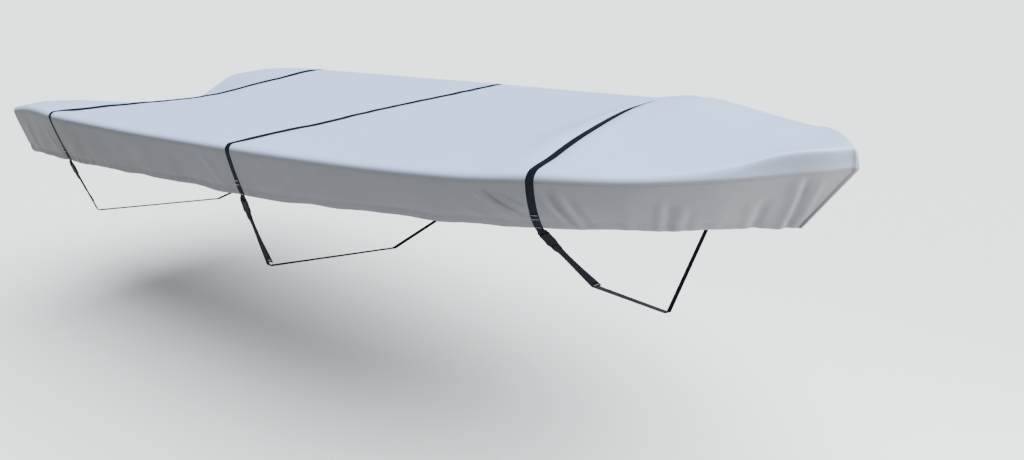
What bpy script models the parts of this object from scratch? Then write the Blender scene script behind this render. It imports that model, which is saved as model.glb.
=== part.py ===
"""A fitted cloth cover for a 4.2 m open boat, in the shape in which it lies over the hull.

+X points to the bow, +Y to port and +Z up. The origin is under the middle of the top, where the
boat carries it. The cover is four panels sewn edge to edge, and three webbing straps pass over it
and under the hull, each closed by a side-release buckle on the starboard side.
"""

import math

import bmesh
import bpy
import numpy as np
from mathutils import Matrix, Vector

# Cloth.
CLOTH = 0.0024
SEAM_GAP = 0.0003
SEAM_LIP = 0.005
RIM_RADIUS = 0.025
STERN_X = -2.126
BOW_X = 2.102
STERN_CORNER = 0.042
BOW_BLUNT = 0.028
BOW_CAP = 1.80
BOW_TURN = 0.060

# Webbing.
STRAP_WIDTH = 0.025
STRAP_THICK = 0.0018
STRAP_LIFT = 0.0005
STRAP_MARGIN = 0.001
LAYER_GAP = 0.0005
STITCHED_END = 0.085
TAIL_FOLD = 0.018
HULL_BEND = 0.012

# Side-release buckle, measured along the strap from the bar that holds the sewn end.
BAR_RADIUS = 0.0017
BAR_HEIGHT = 0.0058
BAR_CLEARANCE = 0.0005
BUCKLE_WIDTH = 0.034
BUCKLE_ARM = 0.0035
BUCKLE_THICK = 0.0100
SOCKET_START = 0.0080
SOCKET_LENGTH = 0.048
SOCKET_ROOF = 0.0018
SHOULDER = 0.0060
LADDER_LENGTH = 0.036
LADDER_BAR = 0.0140
END_BAR = 0.0330
FIT = 0.0004
CHAMFER = 0.0030
EDGE_CHAMFER = 0.0020
WAIST = 0.0010
WALL = 0.0040
CAVITY_START = 0.0070
CAVITY_TAPER = 0.0040
WINDOW = (0.0120, 0.0330)
WINDOW_DEPTH = 0.0060
ARM_HALF = 0.0026
ARM_ROOT = 0.0045
ARM_TIP = (-0.0034, -0.0020)
ARM_CHAMFER = 0.0012
PRONG_THICK = 0.0062
TONGUE_HALF = 0.0036
TONGUE_FLAT = 0.7
CUT_PAST = 0.0020

# The outer edge of the ladder's prongs: places along it from the prong's tip, and in from the
# buckle's side. The press pads fill the socket's windows.
PRONG_COLUMNS = ("along", "inset")
PRONG = (
    (0.0060, 0.0104),
    (0.0055, 0.0069),
    (0.0075, 0.0012),
    (0.0120, 0.0002),
    (0.0240, 0.0008),
    (0.0255, 0.0044),
)

# One row for each cross-section. "rim" is the height of the gunwale's top and "crown" the rise of the
# middle over it, which falls to the rim by the power "flank": 1 is straight, as on a tent, and 2 round.
# "riser" is the step inside the rim at the bow cap, and "hump" a soft ridge just inside the rim. "dip"
# is the slack over the motor well, lowest at y = "low". "tuck" and "drop" place the hem in from the
# rim and below it, and "rake" moves it aft. "bulge" is how full the side stands.
SECTION_COLUMNS = (
    "x", "beam", "rim", "crown", "flank", "riser", "hump", "dip", "low", "tuck", "drop", "rake",
    "bulge",
)
SECTIONS = (
    (-2.126, 0.732, -0.148, 0.000, 2.2, 0.000, -0.002, 0.120, 0.330, 0.040, 0.236, -0.054, 0.002),
    (-1.850, 0.780, -0.118, 0.000, 2.2, 0.000, 0.024, 0.100, 0.260, 0.040, 0.238, -0.015, 0.002),
    (-1.650, 0.816, -0.098, 0.000, 2.2, 0.000, 0.0275, 0.072, 0.120, 0.052, 0.239, 0.000, 0.003),
    (-1.412, 0.845, -0.074, 0.000, 2.2, 0.000, 0.008, 0.041, -0.050, 0.062, 0.245, 0.000, 0.003),
    (-1.050, 0.855, -0.052, 0.000, 2.2, 0.000, 0.000, 0.018, -0.050, 0.062, 0.238, 0.000, 0.003),
    (-0.650, 0.857, -0.034, 0.000, 2.2, 0.000, 0.000, 0.005, -0.020, 0.060, 0.224, 0.000, 0.003),
    (-0.300, 0.852, -0.016, 0.002, 2.2, 0.000, 0.000, 0.000, 0.000, 0.055, 0.214, 0.000, 0.003),
    (0.040, 0.842, 0.001, 0.004, 2.2, 0.000, 0.000, 0.000, 0.000, 0.047, 0.213, 0.000, 0.003),
    (0.350, 0.825, 0.017, 0.007, 2.2, 0.000, 0.000, 0.000, 0.000, 0.045, 0.203, 0.000, 0.004),
    (0.650, 0.803, 0.033, 0.014, 2.2, 0.000, 0.000, 0.000, 0.000, 0.047, 0.188, 0.000, 0.006),
    (0.950, 0.773, 0.052, 0.034, 2.1, 0.000, 0.000, 0.000, 0.000, 0.050, 0.184, 0.000, 0.010),
    (1.150, 0.743, 0.067, 0.052, 2.0, 0.000, 0.000, 0.000, 0.000, 0.053, 0.184, 0.000, 0.014),
    (1.348, 0.692, 0.084, 0.1145, 1.8, 0.000, 0.004, 0.000, 0.000, 0.055, 0.183, 0.000, 0.020),
    (1.450, 0.650, 0.088, 0.1335, 1.05, 0.000, 0.004, 0.000, 0.000, 0.062, 0.186, 0.008, 0.018),
    (1.550, 0.597, 0.091, 0.1405, 0.8, 0.000, 0.002, 0.000, 0.000, 0.070, 0.190, 0.020, 0.016),
    (1.650, 0.531, 0.095, 0.115, 0.85, 0.000, 0.000, 0.000, 0.000, 0.078, 0.196, 0.033, 0.013),
    (1.750, 0.450, 0.099, 0.088, 1.1, 0.004, 0.000, 0.000, 0.000, 0.085, 0.206, 0.050, 0.010),
    (1.850, 0.350, 0.103, 0.071, 1.4, 0.014, 0.000, 0.000, 0.000, 0.090, 0.221, 0.072, 0.007),
    (1.950, 0.225, 0.107, 0.049, 1.8, 0.042, 0.000, 0.000, 0.000, 0.080, 0.237, 0.103, 0.004),
    (2.050, 0.095, 0.109, 0.0435, 2.0, 0.040, 0.000, 0.000, 0.000, 0.045, 0.250, 0.132, 0.002),
    (2.102, 0.000, 0.106, 0.043, 2.0, 0.036, 0.000, 0.000, 0.000, 0.000, 0.247, 0.146, 0.000),
)

RISER_WIDTH = 0.016
HUMP_PLACE = 0.85
HUMP_WIDTH = 0.25
DIP_REACH = 0.92
RIDGE_ROUND = 0.10
PRESS_WIDTH = 0.035
PRESS_EDGE = 0.12

# The hem waves by these heights at these lengths along the cover, each from its own start.
HEM_WAVE_COLUMNS = ("height", "length", "start")
HEM_WAVES = ((0.0022, 0.37, 0.6), (0.0014, 0.23, 2.1))

# Creases in the starboard side near the fore strap and the bow. Each runs from "x_top" at
# "down_top" to "x_low" at "down_low", as fractions of the side's depth, and stands out by "height".
CREASE_COLUMNS = ("x_top", "down_top", "x_low", "down_low", "width", "height")
CREASES = (
    (1.172, 0.15, 1.300, 0.66, 0.014, 0.007),
    (1.205, 0.14, 1.324, 0.62, 0.012, -0.006),
    (1.376, 0.22, 1.444, 0.86, 0.013, 0.006),
    (1.402, 0.12, 1.458, 0.80, 0.012, -0.006),
    (1.432, 0.14, 1.488, 0.92, 0.013, 0.005),
    (1.692, 0.30, 1.690, 0.95, 0.014, 0.005),
    (1.718, 0.36, 1.716, 1.00, 0.012, -0.005),
    (1.905, 0.46, 1.925, 1.00, 0.014, 0.006),
    (1.938, 0.40, 1.950, 1.00, 0.013, -0.006),
    (1.985, 0.02, 2.030, 0.96, 0.015, 0.008),
    (2.012, 0.05, 2.052, 1.00, 0.013, -0.006),
)
CREASE_REACH = 0.030

# One row for each strap: where it lies over the cover and how deep it presses into the cloth, and
# where the hull bends it below. "bar" is how far below the hem the buckle's bar hangs. The free tail
# is "tail" long and its tip drifts forward by "drift".
STRAP_COLUMNS = (
    "name", "x", "press", "chine_x", "chine_y", "chine_z", "keel_x", "keel_z", "bar", "tail",
    "drift",
)
STRAPS = (
    ("stern", -1.4125, 0.002, -1.4125, 0.695, -0.602, -1.4125, -0.715, 0.012, 0.150, 0.016),
    ("mid", 0.0395, 0.002, 0.0395, 0.711, -0.538, 0.0395, -0.675, 0.014, 0.225, 0.030),
    ("fore", 1.3545, 0.014, 1.4475, 0.447, -0.337, 1.5005, -0.588, 0.016, 0.230, 0.014),
)

TOP_COLOUR = (0.58, 0.63, 0.70)
SIDE_COLOUR = (0.38, 0.40, 0.43)
WEBBING_COLOUR = (0.016, 0.018, 0.024)
PLASTIC_COLOUR = (0.012, 0.013, 0.016)
CLOTH_ROUGHNESS = 0.76
WEBBING_ROUGHNESS = 0.85
PLASTIC_ROUGHNESS = 0.45

# Cross-sections are spaced by these steps, from the stern forward.
SPACING = ((1.10, 0.190), (1.62, 0.048), (1.98, 0.055), (BOW_X, 0.030))
RIM_STEPS = 3
TOP_STEPS = 5
SIDE_ROWS = (0.0, 0.030, 0.20, 0.38, 0.56, 0.74, 0.90, 1.0)
SIDE_SPAN = 0.11
CREASE_SPAN = 0.016
CORNER_SEAM = 2


def smoothstep(value):
    """0 below 0, 1 above 1, and an easy curve between."""
    t = np.clip(value, 0.0, 1.0)
    return t * t * (3.0 - 2.0 * t)


def section_value(name, x):
    """A column of the section table at x, on a smooth curve through its rows."""
    table = np.array(SECTIONS)
    rows = table[:, 0]
    values = table[:, SECTION_COLUMNS.index(name)]
    slopes = np.gradient(values, rows)
    at = np.clip(np.asarray(x, float), rows[0], rows[-1])
    k = np.clip(np.searchsorted(rows, at, side="right") - 1, 0, len(rows) - 2)
    span = rows[k + 1] - rows[k]
    t = (at - rows[k]) / span
    return (
        values[k] * (1 + 2 * t) * (1 - t) ** 2
        + slopes[k] * span * t * (1 - t) ** 2
        + values[k + 1] * t * t * (3 - 2 * t)
        - slopes[k + 1] * span * t * t * (1 - t)
    )


def half_beam(x):
    """Half-width of the outline at x, with round stern corners and a small blunt bow."""
    beam = section_value("beam", x)
    into_corner = np.clip(STERN_X + STERN_CORNER - np.asarray(x, float), 0.0, STERN_CORNER)
    beam = beam - STERN_CORNER + np.sqrt(STERN_CORNER**2 - into_corner**2)
    from_tip = np.clip((BOW_X - np.asarray(x, float)) / BOW_BLUNT, 0.0, 1.0)
    return np.maximum(beam, BOW_BLUNT * (0.4 + 0.6 * np.sqrt(from_tip)))


def strap_value(strap, name):
    """A column of the strap table."""
    return strap[STRAP_COLUMNS.index(name)]


def stations():
    """The x of each cross-section: close together at the round ends, and at each strap's edges."""
    rim = [RIM_RADIUS * (1.0 - math.cos(math.pi / 2 * k / RIM_STEPS)) for k in range(RIM_STEPS + 1)]
    found = [STERN_X + step for step in rim] + [STERN_X + 0.68 * STERN_CORNER, STERN_X + STERN_CORNER]
    bow = [BOW_X - step for step in rim]
    last = found[-1]
    for end, step in SPACING:
        end = min(end, bow[-1] - 0.5 * RIM_RADIUS)
        count = max(1, round((end - last) / step))
        found += [last + (end - last) * (k + 1) / count for k in range(count)]
        last = end
    found += reversed(bow)
    half = STRAP_WIDTH / 2 + STRAP_MARGIN
    for strap in STRAPS:
        place = strap_value(strap, "x")
        found = [x for x in found if abs(x - place) > 1.8 * half]
        found += [place - half, place + half]
    return sorted(found)


def outline_points():
    """The starboard half of the outline in plan, from the middle of the stern to the bow tip."""
    side = [(x, float(half_beam(x))) for x in stations()]
    return np.array([(STERN_X, 0.0)] + side + [(BOW_X, 0.0)])


OUTLINE = outline_points()


def edge_distance(x, y):
    """How far (x, y) lies inside the outline."""
    starts = OUTLINE[:-1]
    runs = OUTLINE[1:] - starts
    lengths = np.maximum((runs**2).sum(axis=1), 1e-12)
    point = np.array([x, abs(y)])
    along = np.clip(((point - starts) * runs).sum(axis=1) / lengths, 0.0, 1.0)
    gaps = point - starts - runs * along[:, None]
    return float(np.sqrt((gaps**2).sum(axis=1)).min())


def pressed(x):
    """How far the straps press the cloth down at x."""
    return sum(
        strap_value(strap, "press") * math.exp(-(((x - strap_value(strap, "x")) / PRESS_WIDTH) ** 2))
        for strap in STRAPS
    )


def taut_height(x, y):
    """Height of the stretched top at (x, y), before its edge turns down."""
    beam = max(float(section_value("beam", x)), BOW_BLUNT)
    across = min(abs(y) / beam, 1.0)
    low = float(section_value("low", x))
    from_low = min(abs(y - low) / (beam - math.copysign(low, (y - low) * low)), 1.0)
    inside = edge_distance(x, y)
    turn = BOW_TURN * float(smoothstep((x - BOW_CAP) / (BOW_X - BOW_CAP)))
    domed = float(smoothstep(inside / turn)) if turn > 0.0 else 1.0
    riser = float(section_value("riser", x))
    crown = float(section_value("crown", x))
    out = (math.hypot(across, RIDGE_ROUND) - RIDGE_ROUND) / (math.hypot(1.0, RIDGE_ROUND) - RIDGE_ROUND)
    return (
        float(section_value("rim", x))
        + (crown - riser) * domed * (1.0 - out ** float(section_value("flank", x)))
        + riser * float(smoothstep(inside / RISER_WIDTH))
        + float(section_value("hump", x)) * math.exp(-(((across - HUMP_PLACE) / HUMP_WIDTH) ** 2))
        - float(section_value("dip", x)) * (1.0 - float(smoothstep(from_low / DIP_REACH)))
        - pressed(x) * float(smoothstep(inside / PRESS_EDGE))
    )


def top_height(x, y):
    """Height of the top's outer face at (x, y), with the round turn at its edge."""
    inside = min(edge_distance(x, y), RIM_RADIUS)
    return taut_height(x, y) - RIM_RADIUS + math.sqrt(RIM_RADIUS**2 - (RIM_RADIUS - inside) ** 2)


def across_places(x):
    """The y of each point across the top at x, from starboard to port, close together at the rim."""
    beam = float(half_beam(x))
    rim = [RIM_RADIUS * (1.0 - math.cos(math.pi / 2 * k / RIM_STEPS)) for k in range(RIM_STEPS + 1)]
    steps = rim + [2.0 * RIM_RADIUS, 3.6 * RIM_RADIUS]
    inner = beam - steps[-1]
    steps += [steps[-1] + inner * (k + 1) / TOP_STEPS for k in range(TOP_STEPS)]
    even = np.linspace(0.0, beam, len(steps))
    blend = float(smoothstep(beam / 0.25))
    offsets = blend * np.array(steps) + (1.0 - blend) * even
    starboard = offsets - beam
    return np.concatenate([starboard, -starboard[-2::-1]])


def top_section(x):
    """Points of the top's outer face at x, from starboard to port."""
    return [(x, float(y), top_height(x, float(y))) for y in across_places(x)]


def crease_height(x, down, depth):
    """How far the starboard side stands out at x and a fraction down its depth."""
    height = 0.0
    for row in CREASES:
        crease = dict(zip(CREASE_COLUMNS, row))
        fall = (crease["down_low"] - crease["down_top"]) * depth
        run = np.array([crease["x_low"] - crease["x_top"], fall])
        point = np.array([x - crease["x_top"], (down - crease["down_top"]) * depth])
        along = float(point @ run / (run @ run))
        nearest = run * min(max(along, 0.0), 1.0)
        gap = float(np.linalg.norm(point - nearest))
        fade = float(smoothstep(along / 0.4 + 0.3))
        height += crease["height"] * fade * math.exp(-((gap / crease["width"]) ** 2))
    held = min(abs(x - strap_value(strap, "x")) for strap in STRAPS)
    return height * float(smoothstep((held - STRAP_WIDTH / 2) / STRAP_WIDTH))


def hem_wave(x):
    """How far the hem lifts at x."""
    lift = 0.0
    for row in HEM_WAVES:
        wave = dict(zip(HEM_WAVE_COLUMNS, row))
        lift += wave["height"] * math.sin(2.0 * math.pi * x / wave["length"] + wave["start"])
    return lift


def side_point(edge, down):
    """A point of the hanging side, a fraction down from the seam at the top's edge to the hem."""
    x, y, z = edge
    hand = math.copysign(1.0, y) if y else 1.0
    beam = float(half_beam(x))
    tuck = float(section_value("tuck", x))
    hem_beam = max(beam - tuck, 0.5 * beam)
    hem = np.array(
        [
            x - float(section_value("rake", x)),
            y * hem_beam / beam,
            float(section_value("rim", x)) - float(section_value("drop", x)) + hem_wave(x),
        ]
    )
    start = np.array([x, y, z - SEAM_LIP - SEAM_GAP])
    if down == 0.0:
        return start
    lip = start - np.array([0.0, 0.0, SEAM_LIP])
    if down <= SIDE_ROWS[1]:
        return lip
    part = (down - SIDE_ROWS[1]) / (1.0 - SIDE_ROWS[1])
    point = lip + (hem - lip) * part
    out = float(section_value("bulge", x)) * 4.0 * part * (1.0 - part)
    if hand < 0.0:
        out += crease_height(x, part, lip[2] - hem[2])
    normal = side_normal(x, y)
    return point + normal * out


def side_normal(x, y):
    """The outward direction of the outline at (x, y), level."""
    on_stern = x < STERN_X + STERN_CORNER
    if on_stern:
        corner_y = float(section_value("beam", STERN_X)) - STERN_CORNER
        away = np.array([x - STERN_X - STERN_CORNER, math.copysign(max(abs(y) - corner_y, 0.0), y), 0.0])
    else:
        step = 0.01
        slope = (float(half_beam(x + step)) - float(half_beam(x - step))) / (2.0 * step)
        away = np.array([-slope, math.copysign(1.0, y), 0.0])
    return away / np.linalg.norm(away)


def side_column(edge):
    """The points of the side under one point of the top's edge, from the seam to the hem."""
    return np.array([side_point(edge, down) for down in SIDE_ROWS])


def edge_point(x, hand):
    """The top's edge at x, on the starboard side for hand -1 and the port side for hand 1."""
    y = hand * float(half_beam(x))
    return (x, y, top_height(x, y))


def corner_column(hand, aft):
    """The column at the seam in a stern corner, for the panel aft of it or the one forward."""
    places = stations()[CORNER_SEAM : CORNER_SEAM + 2]
    ends = [side_column(edge_point(x, hand)) for x in places]
    chord = float(np.linalg.norm(ends[1][0] - ends[0][0]))
    middle = 0.5 + (-0.5 if aft else 0.5) * SEAM_GAP / chord
    return ends[0] + (ends[1] - ends[0]) * middle


def creased(start, end):
    """Whether a crease crosses the starboard side between two places."""
    return any(
        min(row[0], row[2]) - CREASE_REACH < end and start < max(row[0], row[2]) + CREASE_REACH
        for row in CREASES
    )


def side_columns(hand):
    """The columns of one side panel, from the stern corner to the stem."""
    edges = [np.array(edge_point(x, hand)) for x in stations()[CORNER_SEAM + 1 :]]
    columns = [corner_column(hand, False), side_column(tuple(edges[0]))]
    for last, edge in zip(edges[:-1], edges[1:]):
        fine = hand < 0.0 and creased(last[0], edge[0])
        count = max(1, round((edge[0] - last[0]) / (CREASE_SPAN if fine else SIDE_SPAN)))
        for k in range(1, count + 1):
            columns.append(side_column(tuple(last + (edge - last) * k / count)))
    stem = (BOW_X, hand * 0.5 * SEAM_GAP, top_height(BOW_X, 0.0))
    return columns + [side_column(stem)]


def transom_columns():
    """The columns of the stern panel, from the starboard corner to the port corner."""
    places = stations()[: CORNER_SEAM + 1]
    starboard = [edge_point(x, -1.0) for x in reversed(places)]
    port = [edge_point(x, 1.0) for x in places]
    middle = top_section(STERN_X)[1:-1]
    columns = [side_column(edge) for edge in starboard + middle + port]
    return [corner_column(-1.0, True)] + columns + [corner_column(1.0, True)]


def top_rows():
    """The points of the top, row by row from the stern, with the lip that turns down all round."""
    rows = []
    for x in stations():
        section = [np.array(point) for point in top_section(x)]
        drop = np.array([0.0, 0.0, SEAM_LIP])
        rows.append([section[0] - drop] + section + [section[-1] - drop])
    down = np.array([0.0, 0.0, SEAM_LIP])
    stern = [rows[0][0]] + [point - down for point in rows[0][1:-1]] + [rows[0][-1]]
    bow = [rows[-1][0]] + [point - down for point in rows[-1][1:-1]] + [rows[-1][-1]]
    return [stern] + rows + [bow]


def cloth_line(x):
    """The cover's outer face at x as one line, from the starboard hem over the top to the port hem."""
    starboard = [side_point(edge_point(x, -1.0), down) for down in reversed(SIDE_ROWS[1:])]
    port = [side_point(edge_point(x, 1.0), down) for down in SIDE_ROWS[1:]]
    return np.array(starboard + top_section(x) + port)


def strap_lines(place):
    """The cover's outer face under the strap's two edges, aft and forward, as it lies there."""
    half = STRAP_WIDTH / 2 + STRAP_MARGIN
    aft = cloth_line(place - half)
    fore = cloth_line(place + half)
    inset = STRAP_MARGIN / (2.0 * half)
    return aft + (fore - aft) * inset, fore + (aft - fore) * inset


def raised(line, height):
    """A line in a cross-section moved outward by a height, its bends kept sharp."""
    runs = np.diff(line[:, 1:], axis=0)
    runs /= np.linalg.norm(runs, axis=1)[:, None]
    outward = np.stack([-runs[:, 1], runs[:, 0]], axis=1)
    before = np.vstack([outward[:1], outward])
    after = np.vstack([outward, outward[-1:]])
    mitre = before + after
    mitre /= (1.0 + (before * after).sum(axis=1))[:, None]
    moved = line.copy()
    moved[:, 1:] += height * mitre
    return moved


def cut_line(line, length):
    """The start of a line, cut off at a length along it."""
    steps = np.linalg.norm(np.diff(line, axis=0), axis=1)
    kept = [line[0]]
    left = length
    for start, end, step in zip(line[:-1], line[1:], steps):
        if left <= step:
            kept.append(start + (end - start) * left / step)
            break
        kept.append(end)
        left -= step
    return np.array(kept)


def rounded(points, radius):
    """A path through points, each inner corner replaced by three points of a bend."""
    path = [points[0]]
    for before, corner, after in zip(points[:-2], points[1:-1], points[2:]):
        into = (corner - before) / np.linalg.norm(corner - before)
        away = (after - corner) / np.linalg.norm(after - corner)
        reach = radius * math.tan(0.5 * math.acos(min(1.0, float(into @ away))))
        first = corner - into * reach
        last = corner + away * reach
        path += [first, 0.25 * first + 0.5 * corner + 0.25 * last, last]
    return path + [points[-1]]


def half_turn(centre, start, segments):
    """(u, w) points of a half turn of the webbing round a bar, from one side of it to the other."""
    radius = BAR_RADIUS + BAR_CLEARANCE + STRAP_THICK / 2
    turn = [math.pi * k / segments for k in range(segments + 1)]
    return [
        (centre + start * radius * math.sin(angle), BAR_HEIGHT + start * radius * math.cos(angle))
        for angle in turn
    ]


class StrapFrame:
    """Places along the strap where it hangs free below the starboard hem.

    "u" runs down the strap from the bar of its buckle, "v" forward across it and "w" away from the
    hull. The strap turns with the cloth's side, and leans forward below the hem where the hull
    narrows.
    """

    def __init__(self, strap):
        row = dict(zip(STRAP_COLUMNS, strap))
        aft, fore = strap_lines(row["x"])
        hem = 0.5 * (aft[0] + fore[0])
        self.chine = np.array([row["chine_x"], -row["chine_y"], row["chine_z"]])
        self.keel = np.array([row["keel_x"], 0.0, row["keel_z"]])
        self.length = float(np.linalg.norm(self.chine - hem)) - row["bar"]
        self.down = (self.chine - hem) / np.linalg.norm(self.chine - hem)
        ahead = fore[0] - aft[0]
        ahead -= self.down * float(ahead @ self.down)
        self.ahead = ahead / np.linalg.norm(ahead)
        self.out = np.cross(self.down, self.ahead)
        self.origin = hem + self.down * row["bar"]

    def point(self, u, v, w):
        """A place given along, across and out from the strap."""
        return self.origin + self.down * u + self.ahead * v + self.out * w

    def pair(self, u, w, shift=0.0):
        """The strap's two edges at a place along it, moved forward by a shift."""
        half = STRAP_WIDTH / 2
        return self.point(u, shift - half, w), self.point(u, shift + half, w)

    def matrix(self):
        """The frame as a matrix for a buckle."""
        columns = (self.down, self.ahead, self.out, self.origin)
        return Matrix([[float(column[k]) for column in columns] for k in range(3)] + [[0, 0, 0, 1]])


def strap_rows(strap):
    """The strap's middle surface as pairs of edge points, from its stitched end to its tail."""
    row = dict(zip(STRAP_COLUMNS, strap))
    frame = StrapFrame(strap)
    aft, fore = strap_lines(row["x"])
    over = STRAP_LIFT + STRAP_THICK / 2
    doubled = over + STRAP_THICK + LAYER_GAP
    end = [cut_line(raised(line, doubled), STITCHED_END - row["bar"]) for line in (aft, fore)]
    rows = list(zip(end[0][::-1], end[1][::-1]))
    rows += [frame.pair(u, w) for u, w in half_turn(0.0, 1.0, 6)]
    rows += list(zip(raised(aft, over), raised(fore, over)))

    far_hem = 0.5 * (rows[-1][0] + rows[-1][1])
    far_chine = frame.chine * np.array([1.0, -1.0, 1.0])
    ladder = SOCKET_START + SOCKET_LENGTH + FIT + LADDER_BAR
    turn = half_turn(ladder, -1.0, 6)
    near = frame.point(turn[0][0] + STRAP_WIDTH, 0.0, turn[0][1])
    under = rounded([far_hem, far_chine, frame.keel, frame.chine, near], HULL_BEND)
    for point in under[1:-1]:
        hand = float(np.clip(point[1] / HULL_BEND, -1.0, 1.0))
        ahead = frame.ahead * np.array([1.0, -hand, 1.0])
        ahead *= STRAP_WIDTH / 2 / np.linalg.norm(ahead)
        rows.append((point - ahead, point + ahead))
    rows.append(frame.pair(turn[0][0] + STRAP_WIDTH, turn[0][1]))
    rows += [frame.pair(u, w) for u, w in turn]

    stack = STRAP_THICK + LAYER_GAP
    low, high = turn[0][1], turn[-1][1]
    past = SOCKET_START + SOCKET_LENGTH + LADDER_LENGTH
    rows.append(frame.pair(past, high))
    start = past + STRAP_WIDTH / 2
    tip = ladder + row["tail"]
    steps = 6
    for k in range(steps + 1):
        part = k / steps
        u = start + (tip - start) * part
        hull = low * min(1.0, (frame.length - u) / (frame.length - ladder - STRAP_WIDTH))
        rows.append(frame.pair(u, hull + stack, row["drift"] * part))
    fold = 4
    for k in range(1, fold + 1):
        angle = math.pi * k / fold
        u = tip + 0.5 * stack * math.sin(angle)
        w = hull + stack + 0.5 * stack * (1.0 - math.cos(angle))
        rows.append(frame.pair(u, w, row["drift"]))
    rows.append(frame.pair(tip - TAIL_FOLD, hull + 2.0 * stack, row["drift"]))
    return rows


def material_for(name, colour, roughness):
    """A Principled material with one colour."""
    material = bpy.data.materials.new(name)
    material.use_nodes = True
    surface = material.node_tree.nodes["Principled BSDF"]
    surface.inputs["Base Color"].default_value = (*colour, 1.0)
    surface.inputs["Roughness"].default_value = roughness
    surface.inputs["Metallic"].default_value = 0.0
    return material


def add_object(name, mesh, collection, colour, roughness):
    """An object of its own material, in the collection."""
    part = bpy.data.objects.new(name, mesh)
    mesh.materials.clear()
    mesh.materials.append(material_for(name + "_material", colour, roughness))
    collection.objects.link(part)
    return part


def grid_mesh(name, rows):
    """A mesh of quads through rows of points."""
    shape = bmesh.new()
    grid = [[shape.verts.new([float(value) for value in point]) for point in row] for row in rows]
    for row, above in zip(grid[:-1], grid[1:]):
        for k in range(len(row) - 1):
            shape.faces.new((row[k], above[k], above[k + 1], row[k + 1]))
    bmesh.ops.remove_doubles(shape, verts=shape.verts, dist=0.00001)
    mesh = bpy.data.meshes.new(name)
    shape.to_mesh(mesh)
    shape.free()
    return mesh


def add_sheet(name, rows, thickness, offset, collection, colour, roughness):
    """A sheet of even thickness through rows of points."""
    part = add_object(name, grid_mesh(name, rows), collection, colour, roughness)
    solid = part.modifiers.new("thickness", "SOLIDIFY")
    solid.thickness = thickness
    solid.offset = offset
    solid.use_even_offset = True
    return part


def prism_mesh(name, outline, low, high):
    """A solid of one outline in u and v between two heights in w."""
    shape = bmesh.new()
    floor = [shape.verts.new((u, v, low)) for u, v in outline]
    roof = [shape.verts.new((u, v, high)) for u, v in outline]
    shape.faces.new(list(reversed(floor)))
    shape.faces.new(roof)
    for k in range(len(outline)):
        j = (k + 1) % len(outline)
        shape.faces.new((floor[k], floor[j], roof[j], roof[k]))
    bmesh.ops.recalc_face_normals(shape, faces=shape.faces)
    mesh = bpy.data.meshes.new(name)
    shape.to_mesh(mesh)
    shape.free()
    return mesh


def bar_mesh(name, place, half):
    """A round bar across the strap."""
    shape = bmesh.new()
    turned = Matrix.Rotation(math.pi / 2, 4, "X")
    moved = Matrix.Translation(Vector((place, 0.0, BAR_HEIGHT)))
    bmesh.ops.create_cone(
        shape, cap_ends=True, segments=12, radius1=BAR_RADIUS, radius2=BAR_RADIUS,
        depth=2.0 * half, matrix=moved @ turned,
    )
    mesh = bpy.data.meshes.new(name)
    shape.to_mesh(mesh)
    shape.free()
    return mesh


def mirrored(half_outline):
    """An outline closed by its mirror image across the strap's middle."""
    return list(half_outline) + [(u, -v) for u, v in reversed(half_outline) if v > 0.0]


def joined_mesh(name, solids, cuts, helpers):
    """One mesh of solids joined together, with cuts taken out of them."""
    base = bpy.data.objects.new(name + "_base", solids[0])
    helpers.objects.link(base)
    steps = [("UNION", mesh) for mesh in solids[1:]] + [("DIFFERENCE", mesh) for mesh in cuts]
    tools = []
    for operation, mesh in steps:
        tool = bpy.data.objects.new(mesh.name, mesh)
        tool.hide_render = True
        tool.display_type = "WIRE"
        helpers.objects.link(tool)
        tools.append(tool)
        step = base.modifiers.new(mesh.name, "BOOLEAN")
        step.operation = operation
        step.solver = "EXACT"
        step.object = tool
    graph = bpy.context.evaluated_depsgraph_get()
    mesh = bpy.data.meshes.new_from_object(base.evaluated_get(graph))
    mesh.name = name
    for tool in tools + [base]:
        bpy.data.objects.remove(tool, do_unlink=True)
    return mesh


def mirror_image(outline):
    """An outline's mirror image across the strap's middle, running the same way round."""
    return [(u, -v) for u, v in reversed(outline)]


def slab(name, outline, half):
    """A solid of one outline, level with the buckle's bars and twice "half" thick."""
    return prism_mesh(name, outline, BAR_HEIGHT - half, BAR_HEIGHT + half)


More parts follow.
